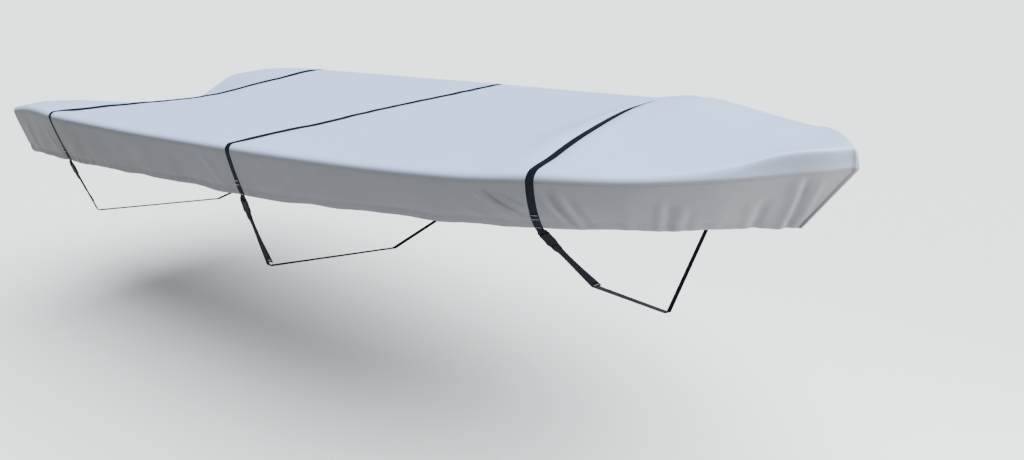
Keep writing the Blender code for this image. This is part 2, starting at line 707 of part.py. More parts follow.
def socket_mesh(helpers):
    """The buckle's outer half: a bar for the stitched end, and a socket open below and at its sides."""
    half = BUCKLE_WIDTH / 2
    thick = BUCKLE_THICK / 2
    roof = thick - SOCKET_ROOF
    top = SOCKET_START
    end = SOCKET_START + SOCKET_LENGTH
    waist = half - WAIST
    inner = half - WALL
    body = mirrored([
        (top, half - CHAMFER), (top + CHAMFER, half), (top + WINDOW[0] - WAIST, waist),
        (top + WINDOW[1] - CHAMFER, waist), (end - 3.0 * CHAMFER, half), (end - EDGE_CHAMFER, half),
        (end, half - EDGE_CHAMFER),
    ])
    arm = [
        (ARM_TIP[0], half - BUCKLE_ARM), (ARM_TIP[0], half - ARM_CHAMFER), (ARM_TIP[1], half),
        (top + ARM_ROOT, half), (top + ARM_ROOT, half - BUCKLE_ARM),
    ]
    cavity = mirrored([
        (top + CAVITY_START, inner - CAVITY_TAPER), (top + CAVITY_START + CAVITY_TAPER, inner),
        (end + CUT_PAST, inner),
    ])
    window = [
        (top + WINDOW[0], half - WINDOW_DEPTH), (top + WINDOW[0], half + CUT_PAST),
        (top + WINDOW[1], half + CUT_PAST), (top + WINDOW[1], half - WINDOW_DEPTH),
    ]
    solids = [
        slab("socket_body", body, thick),
        slab("socket_arm", arm, ARM_HALF),
        slab("socket_far_arm", mirror_image(arm), ARM_HALF),
        bar_mesh("socket_bar", 0.0, half - WAIST),
    ]
    cuts = [
        slab("socket_cavity", cavity, roof),
        slab("socket_window", window, roof),
        slab("socket_far_window", mirror_image(window), roof),
    ]
    return joined_mesh("socket", solids, cuts, helpers)


def ladder_mesh(helpers):
    """The buckle's inner half: two side prongs with press pads, and a ladder frame of two bars."""
    half = BUCKLE_WIDTH / 2
    thick = BUCKLE_THICK / 2
    roof = thick - SOCKET_ROOF - FIT
    mouth = SOCKET_START + SOCKET_LENGTH + FIT
    root = SOCKET_START + CAVITY_START
    end = mouth + LADDER_LENGTH
    side = half - BUCKLE_ARM
    frame = mirrored([
        (mouth, half - EDGE_CHAMFER), (mouth + EDGE_CHAMFER, half), (mouth + 2.0 * SHOULDER, half - WAIST),
        (end - WALL, half - WAIST), (end, half - WALL),
    ])
    prong = [(root + along, half - inset) for along, inset in PRONG]
    prongs = mirrored(prong + [(mouth + CHAMFER, half - PRONG[-1][1])])
    between = half - WALL - PRONG_THICK
    gap = mirrored([
        (root - CUT_PAST, between), (root + WINDOW[1] - SHOULDER, between),
        (mouth - SHOULDER, half - WALL - ARM_ROOT), (mouth - CHAMFER, between - EDGE_CHAMFER),
    ])
    tongue = mirrored([
        (root + CAVITY_TAPER, EDGE_CHAMFER), (root + CAVITY_TAPER + EDGE_CHAMFER, TONGUE_HALF),
        (mouth + CHAMFER, TONGUE_HALF),
    ])
    slot = mirrored([(mouth + SHOULDER, side), (mouth + END_BAR, side)])
    shoulder = mirrored([
        (mouth, half - EDGE_CHAMFER), (mouth + EDGE_CHAMFER, half), (mouth + SHOULDER, half - WAIST),
    ])
    prong_mesh = joined_mesh(
        "prongs", [slab("prong_block", prongs, roof)], [slab("prong_gap", gap, thick)], helpers
    )
    solids = [
        slab("ladder_frame", frame, BAR_RADIUS),
        slab("shoulder", shoulder, thick),
        prong_mesh,
        slab("tongue", tongue, TONGUE_FLAT * roof),
    ]
    open_frame = joined_mesh("open_frame", solids, [slab("ladder_slot", slot, BUCKLE_THICK)], helpers)
    bar = bar_mesh("ladder_bar", mouth + LADDER_BAR, half - EDGE_CHAMFER)
    return joined_mesh("ladder", [open_frame, bar], [], helpers)


def main():
    """Clears the scene and builds the cover."""
    for thing in list(bpy.data.objects):
        bpy.data.objects.remove(thing, do_unlink=True)
    cover = bpy.data.collections.new("boat_cover")
    helpers = bpy.data.collections.new("cutters")
    bpy.context.scene.collection.children.link(cover)
    bpy.context.scene.collection.children.link(helpers)

    add_sheet("top_panel", top_rows(), CLOTH, -1.0, cover, TOP_COLOUR, CLOTH_ROUGHNESS)
    starboard = side_columns(-1.0)[::-1]
    port = side_columns(1.0)
    add_sheet("starboard_side", starboard, CLOTH, -1.0, cover, SIDE_COLOUR, CLOTH_ROUGHNESS)
    add_sheet("port_side", port, CLOTH, -1.0, cover, SIDE_COLOUR, CLOTH_ROUGHNESS)
    add_sheet("transom_side", transom_columns(), CLOTH, -1.0, cover, SIDE_COLOUR, CLOTH_ROUGHNESS)

    socket = socket_mesh(helpers)
    ladder = ladder_mesh(helpers)
    for strap in STRAPS:
        name = strap_value(strap, "name")
        rows = strap_rows(strap)
        add_sheet(name + "_strap", rows, STRAP_THICK, 0.0, cover, WEBBING_COLOUR, WEBBING_ROUGHNESS)
        place = StrapFrame(strap).matrix()
        outer = add_object(name + "_buckle_socket", socket.copy(), cover, PLASTIC_COLOUR, PLASTIC_ROUGHNESS)
        outer.matrix_world = place
        inner = add_object(name + "_buckle_ladder", ladder.copy(), cover, PLASTIC_COLOUR, PLASTIC_ROUGHNESS)
        inner.matrix_world = place


if __name__ == "__main__":
    main()
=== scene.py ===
import math

import bmesh
import bpy
import numpy as np
from mathutils import Matrix, Vector


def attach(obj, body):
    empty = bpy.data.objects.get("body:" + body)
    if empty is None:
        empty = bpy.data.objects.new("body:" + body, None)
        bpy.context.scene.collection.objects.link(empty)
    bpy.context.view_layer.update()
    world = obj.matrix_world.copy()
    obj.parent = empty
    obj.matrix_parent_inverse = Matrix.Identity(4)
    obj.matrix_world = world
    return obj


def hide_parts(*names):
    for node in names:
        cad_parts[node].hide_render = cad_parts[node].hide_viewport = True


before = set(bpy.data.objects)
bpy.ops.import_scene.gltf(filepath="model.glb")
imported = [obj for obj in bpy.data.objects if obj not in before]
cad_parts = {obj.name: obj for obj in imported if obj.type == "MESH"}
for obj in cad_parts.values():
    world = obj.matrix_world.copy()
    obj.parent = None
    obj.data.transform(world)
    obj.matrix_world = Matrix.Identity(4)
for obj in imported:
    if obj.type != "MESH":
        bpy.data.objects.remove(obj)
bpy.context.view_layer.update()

# ------------------------------------------------------------------ sizes, in metres
# The top's outline and its turned edge.
STERN_X = -2.126
BOW_X = 2.102
RIM_RADIUS = 0.025
RIM_POINTS = 10
STERN_CORNER = 0.042
CORNER_POINTS = 15
CORNER_ROWS = 8
CORNER_SEAM_X = STERN_X + 0.24 * STERN_CORNER
BOW_BLUNT = 0.028
BLUNT_TIP = 0.4
TOP_STEP = 0.0125
NOSE = 0.10
NOSE_STEP = 0.004
CURVED_FROM = 1.1
STRAIGHT_POINTS = 120
CURVED_POINTS = 260
BLUNT_POINTS = 12
ON_THE_EDGE = 0.00001
DISTANCE_BATCH = 4000
MERGED = 0.00002

# The top's form.
BOW_CAP = 1.80
BOW_TURN = 0.060
RISER_WIDTH = 0.016
HUMP_PLACE = 0.85
HUMP_WIDTH = 0.25
DIP_REACH = 0.92
RIDGE_ROUND = 0.10
PRESS_WIDTH = 0.035
PRESS_EDGE = 0.12
# Points across the top just inside the edge's bend, in radii of the bend.
PAST_RIM = (1.25, 1.6, 2.05, 2.6, 3.3)
INNER_POINTS = 44
NARROW_BEAM = 0.25

# The skirts and their seams.
FABRIC = 0.0011
SEAM_LIP = 0.005
SEAM_TUCK = 0.010
SEAM_HOLD = 0.014
SEAM_INSET = 0.0012
SEAM_INSET_RUN = 0.003
TUCK_INSET = 0.0014
USUAL_DEPTH = 0.22
CORNER_HOLD = 0.05
BOW_HOLD = 0.03
SIDE_STEP = 0.0095
TRANSOM_POINTS = 140
HANG_FROM = 0.15
GATHER_FROM = 0.55
HEM_BAND = 0.026
HEM_FLARE = 0.0026
HEM_GROOVE = 0.0034
HEM_GROOVE_UP = 0.003
HEM_GROOVE_WIDTH = 0.011
# Waves along the hem: height, length, start.
HEM_WAVES = ((0.0022, 0.37, 0.6), (0.0014, 0.23, 2.1))

# The lumps of each uneven field: seed, size across, height.
UNEVEN = {
    "top_broad": (11, 0.42, 0.0013),
    "top_small": (12, 0.15, 0.0005),
    "hem": (22, 0.09, 0.0005),
    "hang": (31, 0.22, 0.0012),
    "gather": (33, 0.055, 0.0016),
    "gather_share": (34, 0.5, 1.0),
    "hem_pull": (41, 0.7, 1.0),
}

# The straps, the buckles' bars and the bends of the webbing.
STRAP_WIDTH = 0.025
WEBBING = 0.0016
STRAP_LIFT = 0.0006
LAYER_GAP = 0.0004
STITCHED_END = 0.085
TAIL_FOLD = 0.018
TAIL_LIFT = 0.0016
TAIL_STEPS = 24
FOLD_STEPS = 8
TURN_STEPS = 10
HULL_BEND = 0.012
HULL_STEP = 0.03
ROLL_RAMP = 0.09
BAR_RADIUS = 0.0017
BAR_HEIGHT = 0.0058
BAR_CLEARANCE = 0.0005
ROUND_BAR = BAR_RADIUS + BAR_CLEARANCE + 0.0009
SOCKET_START = 0.0080
SOCKET_LENGTH = 0.048
LADDER_LENGTH = 0.036
LADDER_BAR = 0.0140
FIT = 0.0004

# The stitching.
THREAD = 0.0005
STITCH = 0.0036
STITCH_PITCH = 0.0050
STITCHES_STOP = 0.016
SEAM_STITCH_DOWN = 0.007
HEM_STITCH_UP = 0.0225
BARTACK_TALL = 0.0032
BARTACK_TURNS = 22
BARTACK_MARGIN = 0.08
SEWN_BARTACKS = (0.005, 0.023, 0.066)

# The weave of the cloth and of the webbing.
CLOTH_PITCH = 0.0011
RIB_PITCH = 0.0016
CHEVRON_PITCH = 0.0022
YARN_PITCH = 0.0013

# Painted light and painted shade in the cloth's colour: a pale tone where a face points up, for the
# light from above, and a dark tone where it hangs, for the shade, each with a patchy variant, and
# the slopes between which they change, as the upward part of a face's direction.
PAINTED_LIGHT_TONE = (0.45, 0.595, 0.88)
PAINTED_LIGHT_TONE_PATCH = (0.41, 0.55, 0.83)
PAINTED_SHADE_TONE = (0.102, 0.105, 0.116)
PAINTED_SHADE_TONE_PATCH = (0.089, 0.092, 0.102)
SOIL = (0.10, 0.10, 0.11)
PAINTED_LIGHT_FROM = 0.02
PAINTED_LIGHT_TO = 0.82
# Painted shade: what hangs is darkened towards the stern, for the dimmer light there.
PAINTED_STERN_SHADE = (0.045, 0.045, 0.047)
STERN_SHADE_UNTIL = 0.25
STERN_SHADE_MOST = 0.86

# The floor, and the camera that the photo's vanishing points give.
FLOOR_Z = -1.2475
FLOOR_SIZE = 60.0
FOCAL_PX = 830.7
FRAME_PX = 1024.0
SENSOR_MM = 36.0
CAMERA_PLACE = (2.7705, -2.603, 0.7715)
AZIMUTH = math.radians(37.74)
ELEVATION = math.radians(19.94)
ROLL = math.radians(0.19)

# The cloth's form at each x. beam and rim are the edge's half-width and height, crown, flank and
# riser the rise inside it, and hump, dip and low the slack at the stern. tuck, drop and rake place
# the hem in, down and back from the edge, and bulge is the skirt's own belly.
COLUMNS = (
    "x", "beam", "rim", "crown", "flank", "riser", "hump", "dip", "low", "tuck", "drop", "rake",
    "bulge",
)
SECTIONS = np.array((
    (-2.126, 0.732, -0.148, 0.0, 2.2, 0.0, -0.002, 0.120, 0.330, 0.040, 0.236, -0.054, 0.002),
    (-1.850, 0.780, -0.118, 0.0, 2.2, 0.0, 0.024, 0.100, 0.260, 0.040, 0.238, -0.015, 0.002),
    (-1.650, 0.816, -0.098, 0.0, 2.2, 0.0, 0.0275, 0.072, 0.120, 0.052, 0.239, 0.0, 0.003),
    (-1.412, 0.845, -0.074, 0.0, 2.2, 0.0, 0.008, 0.041, -0.050, 0.062, 0.245, 0.0, 0.003),
    (-1.050, 0.855, -0.052, 0.0, 2.2, 0.0, 0.0, 0.018, -0.050, 0.062, 0.238, 0.0, 0.003),
    (-0.650, 0.857, -0.034, 0.0, 2.2, 0.0, 0.0, 0.005, -0.020, 0.060, 0.224, 0.0, 0.003),
    (-0.300, 0.852, -0.016, 0.002, 2.2, 0.0, 0.0, 0.0, 0.0, 0.055, 0.214, 0.0, 0.003),
    (0.040, 0.842, 0.001, 0.004, 2.2, 0.0, 0.0, 0.0, 0.0, 0.047, 0.213, 0.0, 0.003),
    (0.350, 0.825, 0.017, 0.007, 2.2, 0.0, 0.0, 0.0, 0.0, 0.045, 0.203, 0.0, 0.004),
    (0.650, 0.803, 0.033, 0.014, 2.2, 0.0, 0.0, 0.0, 0.0, 0.047, 0.188, 0.0, 0.006),
    (0.950, 0.773, 0.052, 0.034, 2.1, 0.0, 0.0, 0.0, 0.0, 0.050, 0.184, 0.0, 0.010),
    (1.150, 0.743, 0.067, 0.052, 2.0, 0.0, 0.0, 0.0, 0.0, 0.053, 0.184, 0.0, 0.014),
    (1.348, 0.692, 0.084, 0.1145, 1.8, 0.0, 0.004, 0.0, 0.0, 0.055, 0.183, 0.0, 0.020),
    (1.450, 0.650, 0.088, 0.1335, 1.05, 0.0, 0.004, 0.0, 0.0, 0.062, 0.186, 0.008, 0.018),
    (1.550, 0.597, 0.091, 0.1405, 0.8, 0.0, 0.002, 0.0, 0.0, 0.070, 0.190, 0.020, 0.016),
    (1.650, 0.531, 0.095, 0.115, 0.85, 0.0, 0.0, 0.0, 0.0, 0.078, 0.196, 0.033, 0.013),
    (1.750, 0.450, 0.099, 0.088, 1.1, 0.004, 0.0, 0.0, 0.0, 0.085, 0.206, 0.050, 0.010),
    (1.850, 0.350, 0.103, 0.071, 1.4, 0.014, 0.0, 0.0, 0.0, 0.090, 0.221, 0.072, 0.007),
    (1.950, 0.225, 0.107, 0.049, 1.8, 0.042, 0.0, 0.0, 0.0, 0.080, 0.237, 0.103, 0.004),
    (2.050, 0.095, 0.109, 0.0435, 2.0, 0.040, 0.0, 0.0, 0.0, 0.045, 0.250, 0.132, 0.002),
    (2.102, 0.0, 0.106, 0.043, 2.0, 0.036, 0.0, 0.0, 0.0, 0.0, 0.247, 0.146, 0.0),
))

# Where each strap crosses the top, how far it presses the cloth, where it meets the hull's chine
# and keel, how far below the hem its buckle's bar is, its tail's length and drift, and its roll.
STRAP_COLUMNS = (
    "name", "x", "press", "chine_x", "chine_y", "chine_z", "keel_x", "keel_z", "bar", "tail",
    "drift", "roll",
)
STRAPS = tuple(dict(zip(STRAP_COLUMNS, row)) for row in (
    ("stern", -1.4125, 0.002, -1.4125, 0.695, -0.602, -1.4125, -0.715, 0.012, 0.150, 0.016, 0.0065),
    ("mid", 0.0395, 0.002, 0.0395, 0.711, -0.538, 0.0395, -0.675, 0.014, 0.225, 0.030, 0.0030),
    ("fore", 1.3545, 0.014, 1.4475, 0.447, -0.337, 1.5005, -0.588, 0.016, 0.230, 0.014, 0.0),
))

# Creases of the skirts: from x_top at a fraction down_top of the depth to x_low at down_low.
# hand is -1 for starboard and 1 for port. A negative height is a trough.
CREASES = (
    # hand, x_top, down_top, x_low, down_low, width, height
    (-1, 1.166, 0.15, 1.292, 0.66, 0.012, 0.0080),
    (-1, 1.196, 0.14, 1.320, 0.64, 0.010, -0.0068),
    (-1, 1.226, 0.18, 1.336, 0.58, 0.008, 0.0065),
    (-1, 1.262, 0.22, 1.342, 0.50, 0.006, -0.0040),
    (-1, 1.080, 0.34, 1.255, 0.92, 0.020, 0.0045),
    (-1, 1.120, 0.42, 1.290, 0.96, 0.014, -0.0035),
    (-1, 1.376, 0.22, 1.444, 0.86, 0.010, 0.0075),
    (-1, 1.399, 0.12, 1.454, 0.80, 0.009, -0.0090),
    (-1, 1.424, 0.12, 1.480, 0.92, 0.010, 0.0070),
    (-1, 1.454, 0.24, 1.502, 0.94, 0.011, -0.0038),
    (-1, 1.486, 0.34, 1.526, 0.96, 0.014, 0.0020),
    (-1, 1.604, 0.30, 1.612, 0.96, 0.022, 0.0025),
    (-1, 1.692, 0.30, 1.690, 0.95, 0.010, 0.0060),
    (-1, 1.714, 0.36, 1.712, 1.00, 0.009, -0.0070),
    (-1, 1.745, 0.40, 1.742, 0.96, 0.010, 0.0055),
    (-1, 1.768, 0.55, 1.765, 1.00, 0.009, -0.0045),
    (-1, 1.832, 0.40, 1.842, 1.00, 0.020, 0.0030),
    (-1, 1.905, 0.46, 1.925, 1.00, 0.014, 0.0080),
    (-1, 1.938, 0.40, 1.950, 1.00, 0.012, -0.0110),
    (-1, 1.985, 0.02, 2.030, 0.96, 0.014, 0.0095),
    (-1, 2.008, 0.05, 2.052, 1.00, 0.012, -0.0120),
    (-1, 2.040, 0.10, 2.074, 0.90, 0.010, 0.0060),
    (-1, 0.960, 0.20, 1.010, 0.95, 0.045, 0.0030),
    (-1, 0.860, 0.15, 0.800, 0.95, 0.050, -0.0030),
    (-1, 0.700, 0.20, 0.672, 0.95, 0.034, 0.0026),
    (-1, 0.500, 0.10, 0.560, 0.95, 0.060, 0.0028),
    (-1, 0.330, 0.30, 0.352, 0.96, 0.020, -0.0026),
    (-1, 0.120, 0.30, 0.070, 0.95, 0.020, 0.0034),
    (-1, -0.150, 0.10, -0.030, 0.90, 0.026, 0.0034),
    (-1, -0.360, 0.20, -0.330, 0.95, 0.050, -0.0026),
    (-1, -0.600, 0.15, -0.520, 0.95, 0.070, 0.0026),
    (-1, -0.910, 0.20, -0.860, 0.95, 0.060, -0.0026),
    (-1, -1.180, 0.20, -1.330, 0.90, 0.030, 0.0032),
    (-1, -1.560, 0.25, -1.470, 0.95, 0.022, 0.0034),
    (-1, -1.900, 0.20, -1.870, 0.95, 0.040, 0.0030),
    (1, 1.160, 0.20, 1.310, 0.90, 0.012, 0.0070),
    (1, 1.205, 0.15, 1.325, 0.70, 0.010, -0.0080),
    (1, 1.395, 0.25, 1.450, 0.90, 0.011, 0.0070),
    (1, 1.430, 0.20, 1.490, 0.95, 0.010, -0.0080),
    (1, 1.640, 0.35, 1.650, 1.00, 0.012, 0.0055),
    (1, 1.860, 0.30, 1.890, 1.00, 0.014, -0.0080),
    (1, 2.000, 0.08, 2.045, 0.96, 0.013, 0.0085),
    (1, 0.700, 0.10, 0.640, 0.95, 0.055, 0.0028),
    (1, 0.330, 0.20, 0.380, 0.95, 0.040, -0.0026),
    (1, 0.150, 0.20, 0.080, 0.95, 0.024, 0.0034),
    (1, -0.080, 0.20, 0.005, 0.95, 0.022, 0.0032),
    (1, -0.700, 0.10, -0.640, 0.95, 0.060, 0.0028),
    (1, -1.330, 0.25, -1.385, 0.95, 0.020, 0.0034),
    (1, -1.560, 0.25, -1.450, 0.95, 0.022, 0.0034),
)

# Slack and tension lines of the top: centre, half-length, half-width, turn in degrees, height.
TOP_FORMS = (
    # x, y, length, width, turn, height
    (1.720, -0.260, 0.240, 0.040, -35.0, -0.0040),
    (1.640, 0.160, 0.300, 0.060, 32.0, -0.0035),
    (1.080, -0.560, 0.260, 0.050, 28.0, 0.0040),
    (1.130, 0.560, 0.260, 0.050, -28.0, 0.0040),
    (0.620, -0.300, 0.420, 0.110, 10.0, -0.0040),
    (0.560, 0.340, 0.420, 0.120, -8.0, -0.0040),
    (-0.380, -0.350, 0.500, 0.120, -5.0, -0.0045),
    (-0.420, 0.320, 0.500, 0.130, 6.0, -0.0045),
    (-0.850, 0.020, 0.520, 0.070, 2.0, 0.0035),
    (-1.080, -0.520, 0.300, 0.060, 24.0, 0.0035),
    (-1.700, -0.430, 0.300, 0.050, 12.0, 0.0060),
    (-1.820, -0.220, 0.240, 0.040, 22.0, -0.0055),
    (-1.780, 0.120, 0.260, 0.050, -18.0, 0.0050),
    (-1.900, 0.480, 0.220, 0.045, -30.0, 0.0050),
    (-1.620, 0.560, 0.260, 0.050, -12.0, -0.0040),
    (-1.412, -0.690, 0.220, 0.110, 0.0, -0.0110),
)


# ------------------------------------------------------------------ the cloth's form
def smoothstep(value):
    """0 below 0, 1 above 1, and a soft step between them."""
    t = np.clip(value, 0.0, 1.0)
    return t * t * (3.0 - 2.0 * t)


def section(name, x):
    """A column of SECTIONS at x, as a smooth curve through its rows."""
    rows = SECTIONS[:, 0]
    values = SECTIONS[:, COLUMNS.index(name)]
    slopes = np.gradient(values, rows)
    at = np.clip(np.asarray(x, float), rows[0], rows[-1])
    k = np.clip(np.searchsorted(rows, at, side="right") - 1, 0, len(rows) - 2)
    span = rows[k + 1] - rows[k]
    t = (at - rows[k]) / span
    return (
        values[k] * (1 + 2 * t) * (1 - t) ** 2
        + slopes[k] * span * t * (1 - t) ** 2
        + values[k + 1] * t * t * (3 - 2 * t)
        - slopes[k + 1] * span * t * t * (1 - t)
    )


def half_beam(x):
    """The outline's half-width at x, with round stern corners and a blunt bow."""
    x = np.asarray(x, float)
    into_corner = np.clip(STERN_X + STERN_CORNER - x, 0.0, STERN_CORNER)
    beam = section("beam", x) - STERN_CORNER + np.sqrt(STERN_CORNER**2 - into_corner**2)
    from_tip = np.clip((BOW_X - x) / BOW_BLUNT, 0.0, 1.0)
    return np.maximum(beam, BOW_BLUNT * (BLUNT_TIP + (1.0 - BLUNT_TIP) * np.sqrt(from_tip)))


def corner_places():
    """The x of the points round the stern corners."""
    return STERN_X + STERN_CORNER * (1.0 - np.cos(np.linspace(0.0, math.pi / 2, CORNER_POINTS)))


def rim_turn():
    """Distances from the edge to the points round its bend."""
    last = RIM_POINTS - 1
    return np.array([
        RIM_RADIUS * (1.0 - math.cos(math.pi / 2 * k / last)) for k in range(RIM_POINTS)
    ])


def nose_places():
    """The x of the rows at the bow, which the top, its outline and the skirts share."""
    bow = (BOW_X - rim_turn())[::-1]
    return np.concatenate([np.arange(BOW_X - NOSE, bow[0] - 0.5 * NOSE_STEP, NOSE_STEP), bow])


def fine_places(step):
    """The x of each row of the fine top, close together at the round ends."""
    stern = STERN_X + rim_turn()
    corner = np.linspace(stern[-1], STERN_X + STERN_CORNER, CORNER_ROWS)[1:]
    nose = nose_places()
    count = int(round((nose[0] - corner[-1]) / step))
    middle = np.linspace(corner[-1], nose[0], count + 1)[1:-1]
    return np.concatenate([stern, corner, middle, nose])


def outline():
    """The port half of the edge from above, from the stern to the bow."""
    x = np.unique(np.concatenate([
        corner_places(), [CORNER_SEAM_X], fine_places(TOP_STEP),
        np.linspace(STERN_X + STERN_CORNER, CURVED_FROM, STRAIGHT_POINTS),
        np.linspace(CURVED_FROM, BOW_X - BOW_BLUNT, CURVED_POINTS),
        BOW_X - BOW_BLUNT * (1.0 - np.sin(np.linspace(0.0, math.pi / 2, BLUNT_POINTS))),
    ]))
    ends = [(STERN_X, 0.0)], [(BOW_X, 0.0)]
    return np.concatenate([ends[0], np.stack([x, half_beam(x)], axis=1), ends[1]])


OUTLINE = outline()


def edge_distance(x, y):
    """How far each point lies inside the outline, seen from above."""
    flat_x, flat_y = np.broadcast_arrays(np.asarray(x, float), np.abs(np.asarray(y, float)))
    points = np.stack([flat_x.ravel(), flat_y.ravel()], axis=1)
    starts = OUTLINE[:-1]
    runs = OUTLINE[1:] - starts
    lengths = np.maximum((runs**2).sum(axis=1), 1e-12)
    found = np.empty(len(points))
    for at in range(0, len(points), DISTANCE_BATCH):
        part = points[at : at + DISTANCE_BATCH, None, :] - starts[None]
        along = np.clip((part * runs[None]).sum(axis=2) / lengths[None], 0.0, 1.0)
        gaps = part - runs[None] * along[:, :, None]
        found[at : at + DISTANCE_BATCH] = np.sqrt((gaps**2).sum(axis=2)).min(axis=1)
    found[found < ON_THE_EDGE] = 0.0
    return found.reshape(flat_x.shape)


def uneven(x, y, name):
    """A smooth uneven field, with the lumps that UNEVEN gives to its name."""
    seed, size, height = UNEVEN[name]
    rng = np.random.default_rng(seed)
    total = np.zeros(np.broadcast(x, y).shape)
    for _ in range(9):
        angle = rng.uniform(0.0, 2.0 * math.pi)
        pitch = 2.0 * math.pi / (size * rng.uniform(0.75, 1.6))
        phase = rng.uniform(0.0, 2.0 * math.pi)
        total += np.sin((x * math.cos(angle) + y * math.sin(angle)) * pitch + phase)
    return height * (total / 3.0)


def top_forms(x, y, inside):
    """The top's slack and tension lines, its unevenness and what the straps press in."""
    height = np.zeros(np.broadcast(x, y).shape)
    for cx, cy, length, width, turn, rise in TOP_FORMS:
        c, s = math.cos(math.radians(turn)), math.sin(math.radians(turn))
        along = ((x - cx) * c + (y - cy) * s) / length
        across = (-(x - cx) * s + (y - cy) * c) / width
        height += rise * np.exp(-(along**2) - across**2)
    height += uneven(x, y, "top_broad") + uneven(x, y, "top_small")
    for strap in STRAPS:
        height -= strap["press"] * np.exp(-(((x - strap["x"]) / PRESS_WIDTH) ** 2))
    return height * smoothstep(inside / PRESS_EDGE)


def top_height(x, y):
    """The height of the top's outer face."""
    x, y = np.broadcast_arrays(np.asarray(x, float), np.asarray(y, float))
    beam = np.maximum(section("beam", x), BOW_BLUNT)
    across = np.minimum(np.abs(y) / beam, 1.0)
    low = section("low", x)
    reach = beam - np.copysign(low, (y - low) * low)
    from_low = np.minimum(np.abs(y - low) / reach, 1.0)
    inside = edge_distance(x, y)
    turn = BOW_TURN * smoothstep((x - BOW_CAP) / (BOW_X - BOW_CAP))
    domed = np.where(turn > 1e-6, smoothstep(inside / np.maximum(turn, 1e-6)), 1.0)
    riser = section("riser", x)
    crown = section("crown", x)
    out = np.hypot(across, RIDGE_ROUND) - RIDGE_ROUND
    out = out / (math.hypot(1.0, RIDGE_ROUND) - RIDGE_ROUND)
    taut = (
        section("rim", x)
        + (crown - riser) * domed * (1.0 - out ** section("flank", x))
        + riser * smoothstep(inside / RISER_WIDTH)
        + section("hump", x) * np.exp(-(((across - HUMP_PLACE) / HUMP_WIDTH) ** 2))
        - section("dip", x) * (1.0 - smoothstep(from_low / DIP_REACH))
    )
    near = np.minimum(inside, RIM_RADIUS)
    rolled = np.sqrt(np.maximum(RIM_RADIUS**2 - (RIM_RADIUS - near) ** 2, 0.0)) - RIM_RADIUS
    return taut + rolled + top_forms(x, y, inside)


def across_places(x):
    """The y of each point across the top at x, starboard to port, close together at the rim."""
    beam = float(half_beam(x))
    steps = list(rim_turn()) + [RIM_RADIUS * grown for grown in PAST_RIM]
    inner = beam - steps[-1]
    steps += [steps[-1] + inner * (k + 1) / INNER_POINTS for k in range(INNER_POINTS)]
    even = np.linspace(0.0, beam, len(steps))
    blend = float(smoothstep(beam / NARROW_BEAM))
    starboard = blend * np.array(steps) + (1.0 - blend) * even - beam
    return np.concatenate([starboard, -starboard[-2::-1]])


def outline_normal(x, y):
    """The outward direction of the outline, level."""
    x, y = np.broadcast_arrays(np.asarray(x, float), np.asarray(y, float))
    hand = np.where(y < 0.0, -1.0, 1.0)
    corner_y = float(section("beam", STERN_X)) - STERN_CORNER
    back = np.stack(
        [x - STERN_X - STERN_CORNER, hand * np.maximum(np.abs(y) - corner_y, 0.0), 0.0 * x], axis=-1
    )
    step = 0.01
    ahead = np.maximum(np.minimum(x + step, BOW_X), x - 0.5 * step)
    slope = (half_beam(ahead) - half_beam(x - step)) / (ahead - x + step)
    side = np.stack([-slope, hand, 0.0 * x], axis=-1)
    away = np.where((x < STERN_X + STERN_CORNER)[..., None], back, side)
    blunt_end = (x > BOW_X - ON_THE_EDGE) & (np.abs(y) < 0.75 * BLUNT_TIP * BOW_BLUNT)
    away = np.where(blunt_end[..., None], np.array([1.0, 0.0, 0.0]), away)
    return away / np.maximum(np.linalg.norm(away, axis=-1, keepdims=True), 1e-9)


def crease_height(hand, x, down, depth):
    """How far the creases of CREASES stand out at a fraction down of the skirt's depth."""
    height = np.zeros(np.broadcast(x, down).shape)
    for side, x_top, down_top, x_low, down_low, width, rise in CREASES:
        run = np.stack([0.0 * depth + x_low - x_top, (down_low - down_top) * depth], axis=-1)
        point = np.stack([x - x_top + 0.0 * depth, (down - down_top) * depth], axis=-1)
        along = (point * run).sum(axis=-1) / (run * run).sum(axis=-1)
        gap = np.linalg.norm(point - run * np.clip(along, 0.0, 1.0)[..., None], axis=-1)
        spread = width * (0.75 + 0.5 * np.clip(along, 0.0, 1.0))
        # A crease fades in at its start and runs out a little past its end.
        fade = smoothstep(along / 0.4 + 0.35) * smoothstep((1.25 - along) / 0.4)
        height += np.where(hand == side, rise, 0.0) * fade * np.exp(-((gap / spread) ** 2))
    return height


def hem_wave(x):
    """How far the hem rises at x, for the uneven pull along it."""
    return sum(
        height * np.sin(2.0 * math.pi * x / length + start) for height, length, start in HEM_WAVES
    )


